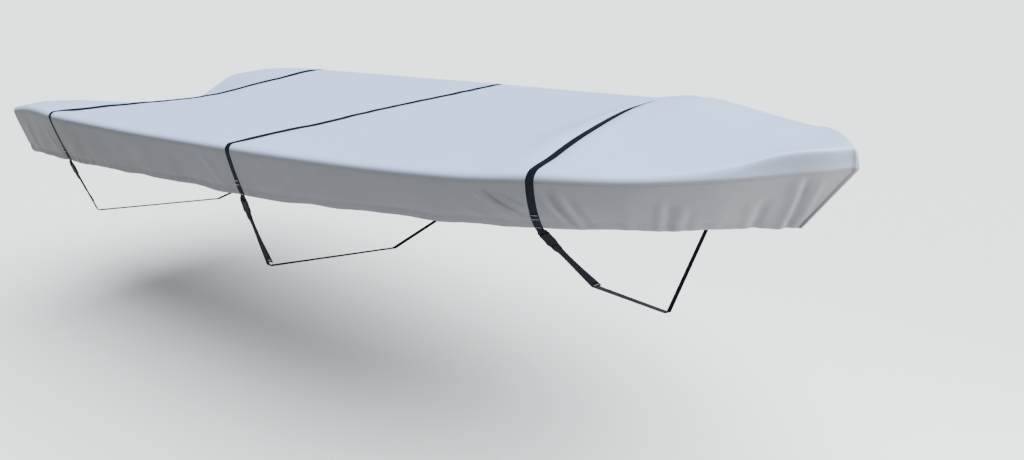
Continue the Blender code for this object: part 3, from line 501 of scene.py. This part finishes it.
def skirt(x, y, z, down, along):
    """Points of the skirt at a fraction down of its depth under the edge's points (x, y, z).

    along is the distance round the outline. Below 0, down is the part tucked behind the top's lip.
    """
    hand = np.where(y < 0.0, -1.0, 1.0)
    beam = half_beam(x)
    hem_beam = np.maximum(beam - section("tuck", x), 0.5 * beam)
    rim = section("rim", x)
    hem_z = rim - section("drop", x) + (hem_wave(x) + uneven(along, hand, "hem"))
    hem = np.stack([x - section("rake", x), y * hem_beam / beam, hem_z], axis=-1)
    start = np.stack([x, y, z - SEAM_LIP], axis=-1)
    part = np.clip(down, 0.0, 1.0)
    point = start + (hem - start) * part[..., None]
    out = section("bulge", x) * 4.0 * part * (1.0 - part)
    depth = start[..., 2] - hem[..., 2]
    folds = crease_height(hand, x, part, depth) * smoothstep(part * depth / SEAM_HOLD)
    folds += uneven(along, down * depth, "hang") * smoothstep(part / HANG_FROM)
    share = 0.5 + 0.5 * np.clip(uneven(along, hand, "gather_share"), -1.0, 1.0)
    low_part = smoothstep((part - GATHER_FROM) / (1.0 - GATHER_FROM))
    folds += uneven(along, hand * 2.0, "gather") * share * low_part
    from_hem = (1.0 - part) * depth
    pull = 0.75 + 0.25 * np.clip(uneven(along, hand, "hem_pull"), -1.0, 1.0)
    folds += HEM_FLARE * pull * (1.0 - smoothstep(from_hem / HEM_BAND))
    from_groove = (from_hem - HEM_BAND - HEM_GROOVE_UP) / HEM_GROOVE_WIDTH
    folds -= HEM_GROOVE * pull * np.exp(-(from_groove**2))
    held = np.min([np.abs(x - strap["x"]) for strap in STRAPS], axis=0)
    folds *= smoothstep((held - 0.5 * STRAP_WIDTH) / STRAP_WIDTH)
    held_end = smoothstep((BOW_X - x) / BOW_HOLD)
    from_seam = np.hypot(x - CORNER_SEAM_X, np.abs(y) - half_beam(CORNER_SEAM_X))
    held_end = held_end * smoothstep(from_seam / CORNER_HOLD)
    out = out + folds * held_end
    out -= SEAM_INSET * (1.0 - smoothstep(part * depth / SEAM_INSET_RUN))
    point = point + outline_normal(x, y) * out[..., None]
    tucked = np.minimum(down, 0.0)
    point[..., 2] -= tucked * depth
    return point


# ------------------------------------------------------------------ meshes
def piece_of(name, shape, material):
    """An object of its own with the mesh in shape, which is freed."""
    mesh = bpy.data.meshes.new(name)
    shape.to_mesh(mesh)
    shape.free()
    mesh.materials.append(material)
    piece = bpy.data.objects.new(name, mesh)
    bpy.context.scene.collection.objects.link(piece)
    return piece


def point_list(points):
    return [[float(value) for value in point] for point in points]


def grid_piece(name, points, material, uv, flip=False):
    """A sheet through a grid of points, with the cloth's thickness inside it."""
    rows, across = points.shape[:2]
    shape = bmesh.new()
    verts = [shape.verts.new(point) for point in point_list(points.reshape(-1, 3))]
    layer = shape.loops.layers.uv.new("cut")
    uv_flat = uv.reshape(-1, 2)
    for j in range(rows - 1):
        for i in range(across - 1):
            k = j * across + i
            ring = [k, k + across, k + across + 1, k + 1]
            if flip:
                ring.reverse()
            face = shape.faces.new([verts[at] for at in ring])
            face.smooth = True
            for loop, at in zip(face.loops, ring):
                loop[layer].uv = uv_flat[at]
    bmesh.ops.remove_doubles(shape, verts=shape.verts, dist=MERGED)
    piece = piece_of(name, shape, material)
    solid = piece.modifiers.new("thickness", "SOLIDIFY")
    solid.thickness = FABRIC
    solid.offset = -1.0
    solid.use_even_offset = False
    return piece


def arc_length(points):
    """The distance from the first point to each, along them."""
    steps = np.linalg.norm(np.diff(points, axis=0), axis=1)
    return np.concatenate([[0.0], np.cumsum(steps)])


def top_grid():
    """The top's points, a row for each x, with the lip that turns down round it."""
    rows = []
    for x in fine_places(TOP_STEP):
        y = across_places(x)
        z = top_height(np.full(y.shape, x), y)
        row = np.stack([np.full(y.shape, x), y, z], axis=1)
        ends = row[[0, -1]] - np.array([0.0, 0.0, SEAM_LIP])
        rows.append(np.concatenate([ends[:1], row, ends[1:]]))
    stern = rows[0].copy()
    stern[1:-1, 2] -= SEAM_LIP
    bow = rows[-1].copy()
    bow[1:-1, 2] -= SEAM_LIP
    return np.stack([stern] + rows + [bow])


def skirt_grid(edges):
    """A skirt panel under a run of the outline, given as (x, y) points."""
    x, y = edges[:, 0], edges[:, 1]
    z = top_height(x, y)
    along = arc_length(edges)
    # Rows tucked behind the lip, then at the seam, down the skirt, and close at the hem's groove.
    down = np.concatenate([
        np.linspace(-SEAM_TUCK / USUAL_DEPTH, -0.001, 3),
        [0.001, 0.006, 0.014, 0.03],
        np.linspace(0.06, 0.84, 26),
        [0.862, 0.872, 0.880, 0.888, 0.896, 0.91, 0.94, 0.97, 0.99, 1.0],
    ])
    grid = np.stack([skirt(x, y, z, np.full(x.shape, d), along) for d in down], axis=1)
    outward = outline_normal(x, y)
    for k, d in enumerate(down):
        if d < 0.0:
            grid[:, k] -= outward * TUCK_INSET
    uv = np.stack(np.broadcast_arrays(along[:, None], down[None] * USUAL_DEPTH), axis=-1)
    return grid, uv


def side_edges(hand):
    """The run of the outline over a side skirt, from the stern corner's seam to the bow."""
    corner = corner_places()
    corner = corner[corner > CORNER_SEAM_X]
    x = np.concatenate([
        [CORNER_SEAM_X], corner,
        np.arange(STERN_X + STERN_CORNER + 0.01, BOW_X - NOSE - NOSE_STEP, SIDE_STEP),
        nose_places(),
    ])
    edges = np.stack([x, hand * half_beam(x)], axis=1)
    centre = [[BOW_X, hand * FIT / 2]]
    return np.concatenate([edges, centre])


def transom_edges():
    """The run of the outline over the transom skirt, from starboard to port."""
    corner = corner_places()
    corner = np.concatenate([corner[corner < CORNER_SEAM_X], [CORNER_SEAM_X]])
    port = np.stack([corner, half_beam(corner)], axis=1)
    middle = np.linspace(-port[0, 1], port[0, 1], TRANSOM_POINTS)[1:-1]
    starboard = port[::-1] * np.array([1.0, -1.0])
    back = np.stack([np.full(middle.shape, STERN_X), middle], axis=1)
    return np.concatenate([starboard, back, port])


# ------------------------------------------------------------------ straps
SIDE_DOWNS = np.concatenate([np.linspace(0.003, 0.03, 3), np.linspace(0.06, 1.0, 20)])


def cloth_line(x):
    """The cover's outer face at x, from the starboard hem over the top to the port hem."""
    edge_y = float(half_beam(x))
    sides = []
    for hand in (-1.0, 1.0):
        ex = np.full(SIDE_DOWNS.shape, x)
        ey = np.full(SIDE_DOWNS.shape, hand * edge_y)
        ez = np.full(SIDE_DOWNS.shape, float(top_height(x, hand * edge_y)))
        sides.append(skirt(ex, ey, ez, SIDE_DOWNS, ex))
    y = across_places(x)
    top = np.stack([np.full(y.shape, x), y, top_height(np.full(y.shape, x), y)], axis=1)
    return np.concatenate([sides[0][::-1], top, sides[1]])


def raised(line, height):
    """The line moved off the cloth by height."""
    runs = np.diff(line[:, 1:], axis=0)
    runs /= np.linalg.norm(runs, axis=1)[:, None]
    outward = np.stack([-runs[:, 1], runs[:, 0]], axis=1)
    before = np.vstack([outward[:1], outward])
    after = np.vstack([outward, outward[-1:]])
    mitre = before + after
    mitre /= (1.0 + (before * after).sum(axis=1))[:, None]
    moved = line.copy()
    moved[:, 1:] += height * mitre
    return moved


def cut_line(line, length):
    """The first part of the line, of that length."""
    steps = np.linalg.norm(np.diff(line, axis=0), axis=1)
    kept = [line[0]]
    left = length
    for start, end, step in zip(line[:-1], line[1:], steps):
        if left <= step:
            kept.append(start + (end - start) * left / step)
            break
        kept.append(end)
        left -= step
    return np.array(kept)


def rounded(points, radius):
    """The points with a bend of that radius at each inner one."""
    path = [points[0]]
    for before, corner, after in zip(points[:-2], points[1:-1], points[2:]):
        into = (corner - before) / np.linalg.norm(corner - before)
        away = (after - corner) / np.linalg.norm(after - corner)
        reach = radius * math.tan(0.5 * math.acos(min(1.0, float(into @ away))))
        first, last = corner - into * reach, corner + away * reach
        for t in (0.0, 0.25, 0.5, 0.75, 1.0):
            path.append((1 - t) ** 2 * first + 2 * t * (1 - t) * corner + t * t * last)
    return path + [points[-1]]


def half_turn(centre, start):
    """The webbing's way round a bar at u = centre, as (u, w). start is 1 outside and -1 inside."""
    turn = [math.pi * k / TURN_STEPS for k in range(TURN_STEPS + 1)]
    return [
        (centre + start * ROUND_BAR * math.sin(a), BAR_HEIGHT + start * ROUND_BAR * math.cos(a))
        for a in turn
    ]


class StrapFrame:
    """Places along the strap below the starboard hem: u down it, v forward across, w outward."""

    def __init__(self, row):
        self.row = row
        half = STRAP_WIDTH / 2
        aft, fore = cloth_line(row["x"] - half), cloth_line(row["x"] + half)
        self.lines = aft, fore
        hem = 0.5 * (aft[0] + fore[0])
        hem[2] = section("rim", row["x"]) - section("drop", row["x"]) + hem_wave(row["x"])
        self.chine = np.array([row["chine_x"], -row["chine_y"], row["chine_z"]])
        self.keel = np.array([row["keel_x"], 0.0, row["keel_z"]])
        self.length = float(np.linalg.norm(self.chine - hem)) - row["bar"]
        self.down = (self.chine - hem) / np.linalg.norm(self.chine - hem)
        ahead = fore[0] - aft[0]
        ahead -= self.down * float(ahead @ self.down)
        self.ahead = ahead / np.linalg.norm(ahead)
        self.out = np.cross(self.down, self.ahead)
        self.origin = hem + self.down * row["bar"]

    def point(self, u, v, w):
        return self.origin + self.down * u + self.ahead * v + self.out * w

    def pair(self, u, w, shift=0.0):
        half = STRAP_WIDTH / 2
        return self.point(u, shift - half, w), self.point(u, shift + half, w)


def rolled(line, rise):
    """A strap's aft edge over the top, where the webbing rolls a little off the slack cloth."""
    edge_y = float(half_beam(line[0, 0]))
    moved = line.copy()
    moved[:, 2] += rise * smoothstep((edge_y - np.abs(line[:, 1]) - RIM_RADIUS) / ROLL_RAMP)
    return moved


def strap_rows(place):
    """The strap's middle surface as pairs of edge points, from its sewn end to its tail."""
    row = place.row
    aft, fore = place.lines
    over = STRAP_LIFT + WEBBING / 2
    doubled = over + WEBBING + LAYER_GAP
    ends = [cut_line(raised(line, doubled), STITCHED_END - row["bar"]) for line in (aft, fore)]
    rows = list(zip(ends[0][::-1], ends[1][::-1]))
    rows += [place.pair(u, w) for u, w in half_turn(0.0, 1.0)]
    rows += list(zip(rolled(raised(aft, over), row["roll"]), raised(fore, over)))
    far_hem = 0.5 * (rows[-1][0] + rows[-1][1])
    far_chine = place.chine * np.array([1.0, -1.0, 1.0])
    ladder = SOCKET_START + SOCKET_LENGTH + FIT + LADDER_BAR
    turn = half_turn(ladder, -1.0)
    near = place.point(turn[0][0] + STRAP_WIDTH, 0.0, turn[0][1])
    under = rounded([far_hem, far_chine, place.keel, place.chine, near], HULL_BEND)
    for before, point in zip(under[:-1], under[1:]):
        count = max(1, int(np.linalg.norm(point - before) / HULL_STEP))
        for k in range(1, count + 1):
            at = before + (point - before) * k / count
            hand = float(np.clip(at[1] / HULL_BEND, -1.0, 1.0))
            ahead = place.ahead * np.array([1.0, -hand, 1.0])
            ahead *= STRAP_WIDTH / 2 / np.linalg.norm(ahead)
            rows.append((at - ahead, at + ahead))
    rows += [place.pair(u, w) for u, w in turn]
    stack = WEBBING + LAYER_GAP
    low, high = turn[0][1], turn[-1][1]
    past = SOCKET_START + SOCKET_LENGTH + LADDER_LENGTH
    rows.append(place.pair(past, high))
    start = past + STRAP_WIDTH / 2
    tip = ladder + row["tail"]
    for k in range(TAIL_STEPS + 1):
        part = k / TAIL_STEPS
        u = start + (tip - start) * part
        hull = low * min(1.0, (place.length - u) / (place.length - ladder - STRAP_WIDTH))
        lift = TAIL_LIFT * math.sin(math.pi * min(1.0, part * 1.15)) ** 2
        rows.append(place.pair(u, hull + stack + lift, row["drift"] * part))
    for k in range(1, FOLD_STEPS + 1):
        angle = math.pi * k / FOLD_STEPS
        u = tip + 0.5 * stack * math.sin(angle)
        w = hull + stack + 0.5 * stack * (1.0 - math.cos(angle))
        rows.append(place.pair(u, w, row["drift"]))
    rows.append(place.pair(tip - TAIL_FOLD, hull + 2.0 * stack, row["drift"]))
    return np.array(rows)


# The webbing's section: places across it, and its thickness there as a share.
WEB_ACROSS = np.array((0.0, 0.03, 0.10, 0.30, 0.50, 0.70, 0.90, 0.97, 1.0))
WEB_THICK = np.array((0.25, 0.80, 1.0, 0.96, 0.92, 0.96, 1.0, 0.80, 0.25))


def strap_piece(name, rows, material):
    """Webbing with thin rounded selvedges, as a closed loft round its middle surface."""
    middle = rows.mean(axis=1)
    tangent = np.gradient(middle, axis=0)
    tangent /= np.maximum(np.linalg.norm(tangent, axis=1), 1e-9)[:, None]
    across = rows[:, 1] - rows[:, 0]
    across /= np.linalg.norm(across, axis=1)[:, None]
    normal = np.cross(tangent, across)
    normal /= np.maximum(np.linalg.norm(normal, axis=1), 1e-9)[:, None]
    run = arc_length(middle)
    half = WEBBING / 2 * WEB_THICK
    shape = bmesh.new()
    layer = shape.loops.layers.uv.new("cut")
    rings = []
    for k in range(len(rows)):
        line = rows[k, 0][None] + (rows[k, 1] - rows[k, 0])[None] * WEB_ACROSS[:, None]
        upper = line + normal[k][None] * half[:, None]
        lower = (line - normal[k][None] * half[:, None])[::-1]
        ring = point_list(np.concatenate([upper, lower]))
        rings.append([shape.verts.new(point) for point in ring])
    size = len(rings[0])
    places = np.concatenate([WEB_ACROSS, WEB_ACROSS[::-1]]) * STRAP_WIDTH
    for k in range(len(rings) - 1):
        for i in range(size):
            j = (i + 1) % size
            face = shape.faces.new((rings[k][i], rings[k][j], rings[k + 1][j], rings[k + 1][i]))
            face.smooth = True
            for loop, (row, at) in zip(face.loops, ((k, i), (k, j), (k + 1, j), (k + 1, i))):
                loop[layer].uv = (run[row], places[at])
    shape.faces.new(rings[0][::-1])
    shape.faces.new(rings[-1])
    bmesh.ops.recalc_face_normals(shape, faces=shape.faces)
    return piece_of(name, shape, material), run[-1]


# ------------------------------------------------------------------ stitching
def thread_piece(name, starts, ends, outward, material):
    """Stitches from starts to ends, each a thin spindle of thread that stands on the cloth."""
    shape = bmesh.new()
    for start, end, away in zip(starts, ends, outward):
        along = (end - start) / np.linalg.norm(end - start)
        side = np.cross(along, away)
        middle = 0.5 * (start + end) + 0.4 * THREAD * away
        belt = [middle + THREAD * d for d in (side, away, -side, -away)]
        tips = [shape.verts.new(point) for point in point_list((start, end))]
        ring = [shape.verts.new(point) for point in point_list(belt)]
        for k in range(4):
            shape.faces.new((tips[0], ring[k], ring[(k + 1) % 4]))
            shape.faces.new((tips[1], ring[(k + 1) % 4], ring[k]))
    for face in shape.faces:
        face.smooth = True
    bmesh.ops.recalc_face_normals(shape, faces=shape.faces)
    return piece_of(name, shape, material)


def skirt_stitches(name, edges):
    """The row that sews the skirt to the top, and the row along the hem's upper edge."""
    whole = arc_length(edges)
    places = np.arange(STITCH_PITCH, whole[-1] - STITCHES_STOP, STITCH_PITCH)
    pairs = []
    for at in (places, places + STITCH):
        x = np.interp(at, whole, edges[:, 0])
        y = np.interp(at, whole, edges[:, 1])
        z = top_height(x, y)
        depth = z - SEAM_LIP - section("rim", x) + section("drop", x) - hem_wave(x)
        downs = SEAM_STITCH_DOWN / depth, 1.0 - HEM_STITCH_UP / depth
        pairs.append(np.concatenate([skirt(x, y, z, down, at) for down in downs]))
    out = np.concatenate([outline_normal(x, y)] * 2)
    return thread_piece(name, pairs[0], pairs[1], out, seam_thread)


def bartacks(name, rows, places, outward):
    """Dense zigzags of thread across the webbing, at distances from the start of rows."""
    run = arc_length(rows.mean(axis=1))
    starts, ends = [], []
    for place in places:
        corners = []
        for k in range(BARTACK_TURNS + 1):
            across = BARTACK_MARGIN + (1.0 - 2.0 * BARTACK_MARGIN) * k / BARTACK_TURNS
            at = place + BARTACK_TALL * (k % 2 - 0.5)
            edges = [[np.interp(at, run, rows[:, e, c]) for c in range(3)] for e in (0, 1)]
            point = np.array(edges[0]) * (1.0 - across) + np.array(edges[1]) * across
            corners.append(point + 0.5 * WEBBING * outward)
        starts += corners[:-1]
        ends += corners[1:]
    return thread_piece(name, starts, ends, [outward] * len(starts), pale_thread)


# ------------------------------------------------------------------ materials
class Shader:
    """A node tree with short names for the nodes used here."""

    def __init__(self, name):
        self.material = bpy.data.materials.new(name)
        self.material.use_nodes = True
        self.tree = self.material.node_tree
        self.surface = self.tree.nodes["Principled BSDF"]

    def node(self, kind, **inputs):
        made = self.tree.nodes.new(kind)
        for key, value in inputs.items():
            made.inputs[key.replace("_", " ")].default_value = value
        return made

    def link(self, start, end):
        self.tree.links.new(start, end)

    def place(self, kind="Object"):
        return self.node("ShaderNodeTexCoord").outputs[kind]

    def wave(self, value, pitch):
        return self.maths("SINE", self.maths("MULTIPLY", value, 2.0 * math.pi / pitch))

    def split(self, vector):
        made = self.node("ShaderNodeSeparateXYZ")
        self.link(vector, made.inputs[0])
        return made.outputs

    def ranged(self, value, start, end, most=1.0):
        """0 at start, most at end, and in between along a line."""
        made = self.node(
            "ShaderNodeMapRange", From_Min=start, From_Max=end, To_Min=0.0, To_Max=most
        )
        self.link(value, made.inputs["Value"])
        return made

    def maths(self, operation, first, second=None):
        made = self.tree.nodes.new("ShaderNodeMath")
        made.operation = operation
        for k, value in enumerate((first, second)):
            if value is None:
                continue
            if isinstance(value, (int, float)):
                made.inputs[k].default_value = value
            else:
                self.tree.links.new(value, made.inputs[k])
        return made.outputs[0]

    def mix(self, factor, first, second):
        made = self.tree.nodes.new("ShaderNodeMix")
        made.data_type = "RGBA"
        # A Mix node's colour sockets are the seventh and the eighth.
        for k, value in ((0, factor), (6, first), (7, second)):
            if isinstance(value, (int, float)):
                made.inputs[k].default_value = value
            elif isinstance(value, tuple):
                made.inputs[k].default_value = (*value, 1.0)
            else:
                self.tree.links.new(value, made.inputs[k])
        return made.outputs[2]

    def noise(self, vector, scale, detail=3.0, roughness=0.5):
        made = self.tree.nodes.new("ShaderNodeTexNoise")
        made.inputs["Scale"].default_value = scale
        made.inputs["Detail"].default_value = detail
        made.inputs["Roughness"].default_value = roughness
        self.tree.links.new(vector, made.inputs["Vector"])
        return made.outputs["Fac"]

    def bump(self, height, strength, distance, normal=None):
        made = self.tree.nodes.new("ShaderNodeBump")
        made.inputs["Strength"].default_value = strength
        made.inputs["Distance"].default_value = distance
        self.tree.links.new(height, made.inputs["Height"])
        if normal is not None:
            self.tree.links.new(normal, made.inputs["Normal"])
        return made.outputs["Normal"]


def fabric_material(name, seed, paints_top_light):
    """Coated plain-weave polyester, its tone darkened as painted shade, most towards the stern.
    With the third argument set, faces that point up get a paler tone as painted light.
    """
    s = Shader(name)
    place = s.place()
    x, y, z = s.split(place)
    warp = s.wave(x, CLOTH_PITCH)
    weft = s.wave(s.maths("ADD", y, z), CLOTH_PITCH)
    weave = s.maths("MULTIPLY", warp, weft)
    moved = s.node("ShaderNodeVectorMath")
    moved.operation = "ADD"
    moved.inputs[1].default_value = (seed, 0.0, 0.0)
    s.link(place, moved.inputs[0])
    broad = s.noise(moved.outputs[0], 2.2, 3.0, 0.55)
    fine = s.noise(moved.outputs[0], 38.0, 4.0, 0.6)
    crumple = s.noise(moved.outputs[0], 13.0, 5.0, 0.62)
    patches = s.maths("MULTIPLY", broad, 0.8)
    # Painted shade: the base tone is the cloth as it looks in shade, in random patches.
    tone = s.mix(patches, PAINTED_SHADE_TONE, PAINTED_SHADE_TONE_PATCH)
    # Painted shade, darker towards the stern.
    stern_shade_mask = s.ranged(x, STERN_SHADE_UNTIL, STERN_X, STERN_SHADE_MOST)
    tone = s.mix(stern_shade_mask.outputs["Result"], tone, PAINTED_STERN_SHADE)
    if paints_top_light:
        # Painted light: faces that point up get the pale lit tone, blended by the upward part of
        # the normal.
        normal = s.node("ShaderNodeNewGeometry").outputs["Normal"]
        painted_light_mask = s.ranged(s.split(normal)[2], PAINTED_LIGHT_FROM, PAINTED_LIGHT_TO)
        painted_light_mask.interpolation_type = "SMOOTHSTEP"
        tone = s.mix(painted_light_mask.outputs["Result"], tone, s.mix(patches, PAINTED_LIGHT_TONE, PAINTED_LIGHT_TONE_PATCH))
    soiled = s.mix(0.16, tone, SOIL)
    tone = s.mix(s.maths("MULTIPLY", fine, 0.25), tone, soiled)
    threads = s.maths("MULTIPLY", s.maths("ADD", weave, 1.0), 0.10)
    s.link(s.mix(threads, tone, soiled), s.surface.inputs["Base Color"])
    rough = s.maths("ADD", s.maths("MULTIPLY", fine, 0.16), 0.58)
    s.link(rough, s.surface.inputs["Roughness"])
    normal = s.bump(weave, 0.25, 0.00012, s.bump(crumple, 0.30, 0.004))
    s.link(normal, s.surface.inputs["Normal"])
    s.surface.inputs["Specular IOR Level"].default_value = 0.25
    s.surface.inputs["Sheen Weight"].default_value = 0.06
    s.surface.inputs["Sheen Roughness"].default_value = 0.45
    return s.material


def webbing_material(name, colour, worn):
    """Woven polyester webbing: ribs across it and a chevron, in the cut's own directions."""
    s = Shader(name)
    along, across, _ = s.split(s.place("UV"))
    slant = s.maths("PINGPONG", across, STRAP_WIDTH / 4)
    ribs = s.maths("MULTIPLY", s.wave(along, RIB_PITCH), 0.35)
    chevron = s.maths("MULTIPLY", s.wave(s.maths("ADD", along, slant), CHEVRON_PITCH), 0.65)
    yarns = s.maths("MULTIPLY", s.wave(across, YARN_PITCH), 0.35)
    weave = s.maths("ADD", s.maths("ADD", ribs, chevron), yarns)
    dust = s.noise(s.place(), 26.0, 5.0, 0.62)
    lint = s.noise(s.place(), 420.0, 2.0, 0.5)
    tone = s.mix(s.maths("MULTIPLY", dust, 0.55), colour, worn)
    tone = s.mix(s.maths("MULTIPLY", s.maths("ADD", weave, 1.2), 0.10), tone, worn)
    tone = s.mix(s.maths("MULTIPLY", lint, 0.12), tone, worn)
    s.link(tone, s.surface.inputs["Base Color"])
    s.link(s.maths("ADD", s.maths("MULTIPLY", dust, 0.15), 0.62), s.surface.inputs["Roughness"])
    s.link(s.bump(weave, 0.8, 0.0003), s.surface.inputs["Normal"])
    s.surface.inputs["Specular IOR Level"].default_value = 0.06
    return s.material


def plastic_material(name, colour, worn):
    """Moulded acetal: satin, with a faint grain and paler handling wear."""
    s = Shader(name)
    grain = s.noise(s.place(), 900.0, 3.0, 0.6)
    wear = s.noise(s.place(), 90.0, 4.0, 0.65)
    tone = s.mix(s.maths("MULTIPLY", s.maths("POWER", wear, 3.0), 0.8), colour, worn)
    s.link(tone, s.surface.inputs["Base Color"])
    s.link(s.maths("ADD", s.maths("MULTIPLY", wear, 0.20), 0.50), s.surface.inputs["Roughness"])
    s.link(s.bump(grain, 0.25, 0.0002), s.surface.inputs["Normal"])
    s.surface.inputs["Specular IOR Level"].default_value = 0.08
    return s.material


def thread_material(name, colour, shade):
    """Twisted polyester sewing thread."""
    s = Shader(name)
    twist = s.noise(s.place(), 700.0, 2.0, 0.5)
    s.link(s.mix(twist, colour, shade), s.surface.inputs["Base Color"])
    s.link(s.bump(twist, 0.4, 0.0002), s.surface.inputs["Normal"])
    s.surface.inputs["Roughness"].default_value = 0.6
    return s.material


def floor_material(name, colour, shade):
    """A plain pale studio floor."""
    s = Shader(name)
    faint = s.noise(s.place(), 1.6, 4.0, 0.5)
    s.link(s.mix(faint, colour, shade), s.surface.inputs["Base Color"])
    s.link(s.bump(s.noise(s.place(), 60.0, 3.0), 0.02, 0.001), s.surface.inputs["Normal"])
    s.surface.inputs["Roughness"].default_value = 0.8
    return s.material


# ------------------------------------------------------------------ build
# Both cloths carry painted shade where they hang; the top cloth also carries painted light where it
# faces up.
top_cloth = fabric_material("top_cloth_look", 0.0, True)
side_cloth = fabric_material("side_cloth_look", 3.7, False)
webbing = webbing_material("webbing_look", (0.0025, 0.0035, 0.0065), (0.009, 0.011, 0.016))
plastic = plastic_material("buckle_look", (0.002, 0.002, 0.003), (0.010, 0.011, 0.013))
seam_thread = thread_material("seam_thread", (0.060, 0.062, 0.070), (0.035, 0.037, 0.042))
pale_thread = thread_material("pale_thread", (0.42, 0.43, 0.45), (0.28, 0.29, 0.31))

grid = top_grid()
top_uv = np.stack([grid[..., 0], grid[..., 1]], axis=-1)
top = grid_piece("top_cloth_fine", grid, top_cloth, top_uv)
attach(top, "root")
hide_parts("top_panel")

SKIRTS = (
    # node, outline, flat size, area, inside out
    ("starboard_side", side_edges(-1.0), (0.25, 4.42), 0.95, False),
    ("port_side", side_edges(1.0), (0.25, 4.42), 0.95, True),
    ("transom_side", transom_edges(), (0.16, 1.45), None, True),
)
for name, edges, flat, area, flip in SKIRTS:
    grid, uv = skirt_grid(edges)
    piece = grid_piece(name + "_fine", grid, side_cloth, uv, flip)
    sewn = skirt_stitches(name + "_stitches", edges)
    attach(piece, "root")
    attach(sewn, "root")
    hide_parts(name)

for strap in STRAPS:
    place = StrapFrame(strap)
    rows = strap_rows(place)
    name = strap["name"]
    piece, length = strap_piece(name + "_strap_fine", rows, webbing)
    out = outline_normal(rows[0, 0, 0], rows[0, 0, 1])
    tacks = bartacks(name + "_sewn_tacks", rows, SEWN_BARTACKS, out)
    tail = bartacks(name + "_tail_tack", rows[::-1], (0.5 * TAIL_FOLD,), place.out)
    for made in (piece, tacks, tail):
        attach(made, "root")
    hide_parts(name + "_strap")
    for half in ("_buckle_socket", "_buckle_ladder"):
        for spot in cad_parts[name + half].material_slots:
            spot.material = plastic

# ------------------------------------------------------------------ floor, light, camera
bpy.ops.mesh.primitive_plane_add(size=1.0, location=(0.0, 0.0, FLOOR_Z))
floor = bpy.context.object
floor.name = "studio_floor"
floor.scale = (FLOOR_SIZE, FLOOR_SIZE, 1.0)
floor_look = floor_material("studio_floor_look", (0.93, 0.935, 0.94), (0.95, 0.95, 0.95))
floor.data.materials.append(floor_look)

# The air is pale round the horizon, behind the floor's far edge, and dim above.
world = bpy.data.worlds.new("studio_air")
world.use_nodes = True
air = world.node_tree
background = air.nodes["Background"]
background.inputs["Color"].default_value = (0.90, 0.95, 1.0, 1.0)
rising = air.nodes.new("ShaderNodeSeparateXYZ")
air.links.new(air.nodes.new("ShaderNodeTexCoord").outputs["Generated"], rising.inputs[0])
surround = air.nodes.new("ShaderNodeMapRange")
for key, value in (("From Min", 0.16), ("From Max", 0.40), ("To Min", 0.85), ("To Max", 0.10)):
    surround.inputs[key].default_value = value
air.links.new(rising.outputs[2], surround.inputs["Value"])
air.links.new(surround.outputs["Result"], background.inputs["Strength"])
bpy.context.scene.world = world


def area_light(name, place, aim, size, watts):
    """A soft panel of light at a place, aimed at another."""
    data = bpy.data.lights.new(name, "AREA")
    data.shape = "RECTANGLE"
    data.size, data.size_y = size
    data.spread = math.radians(90.0)
    data.energy = watts
    light = bpy.data.objects.new(name, data)
    light.location = place
    light.rotation_euler = (Vector(aim) - Vector(place)).to_track_quat("-Z", "Y").to_euler()
    bpy.context.scene.collection.objects.link(light)


def far_light(name, azimuth, elevation, spread, strength, colour):
    """A broad even light from a direction, in degrees, as from a large ceiling bank."""
    data = bpy.data.lights.new(name, "SUN")
    data.angle = math.radians(spread)
    data.energy = strength
    data.color = colour
    light = bpy.data.objects.new(name, data)
    a, e = math.radians(azimuth), math.radians(elevation)
    away = Vector((math.cos(a) * math.cos(e), math.sin(a) * math.cos(e), math.sin(e)))
    light.rotation_euler = away.to_track_quat("Z", "Y").to_euler()
    bpy.context.scene.collection.objects.link(light)


far_light("soft_ceiling", 30.0, 70.0, 80.0, 8.4, (0.95, 0.985, 1.0))
AREA_LIGHTS = (
    # name, place, aim, size, watts
    ("soft_bow", (5.0, 1.1, -0.45), (1.9, 0.0, 0.0), (1.6, 0.8), 72),
    ("soft_side", (3.6, -4.5, 0.5), (0.8, -0.6, -0.1), (2.4, 1.2), 26),
)
for row in AREA_LIGHTS:
    area_light(*row)

forward = Vector((
    -math.sin(AZIMUTH) * math.cos(ELEVATION),
    math.cos(AZIMUTH) * math.cos(ELEVATION),
    -math.sin(ELEVATION),
))
level = Vector((math.cos(AZIMUTH), math.sin(AZIMUTH), 0.0))
upright = level.cross(forward)
right = level * math.cos(ROLL) + upright * math.sin(ROLL)
up = upright * math.cos(ROLL) - level * math.sin(ROLL)
camera_data = bpy.data.cameras.new("camera")
camera_data.sensor_width = SENSOR_MM
camera_data.lens = FOCAL_PX * SENSOR_MM / FRAME_PX
camera_data.clip_end = 200.0
camera = bpy.data.objects.new("camera", camera_data)
turn = Matrix((right, up, -forward)).transposed().to_4x4()
camera.matrix_world = Matrix.Translation(CAMERA_PLACE) @ turn
bpy.context.scene.collection.objects.link(camera)
bpy.context.scene.camera = camera
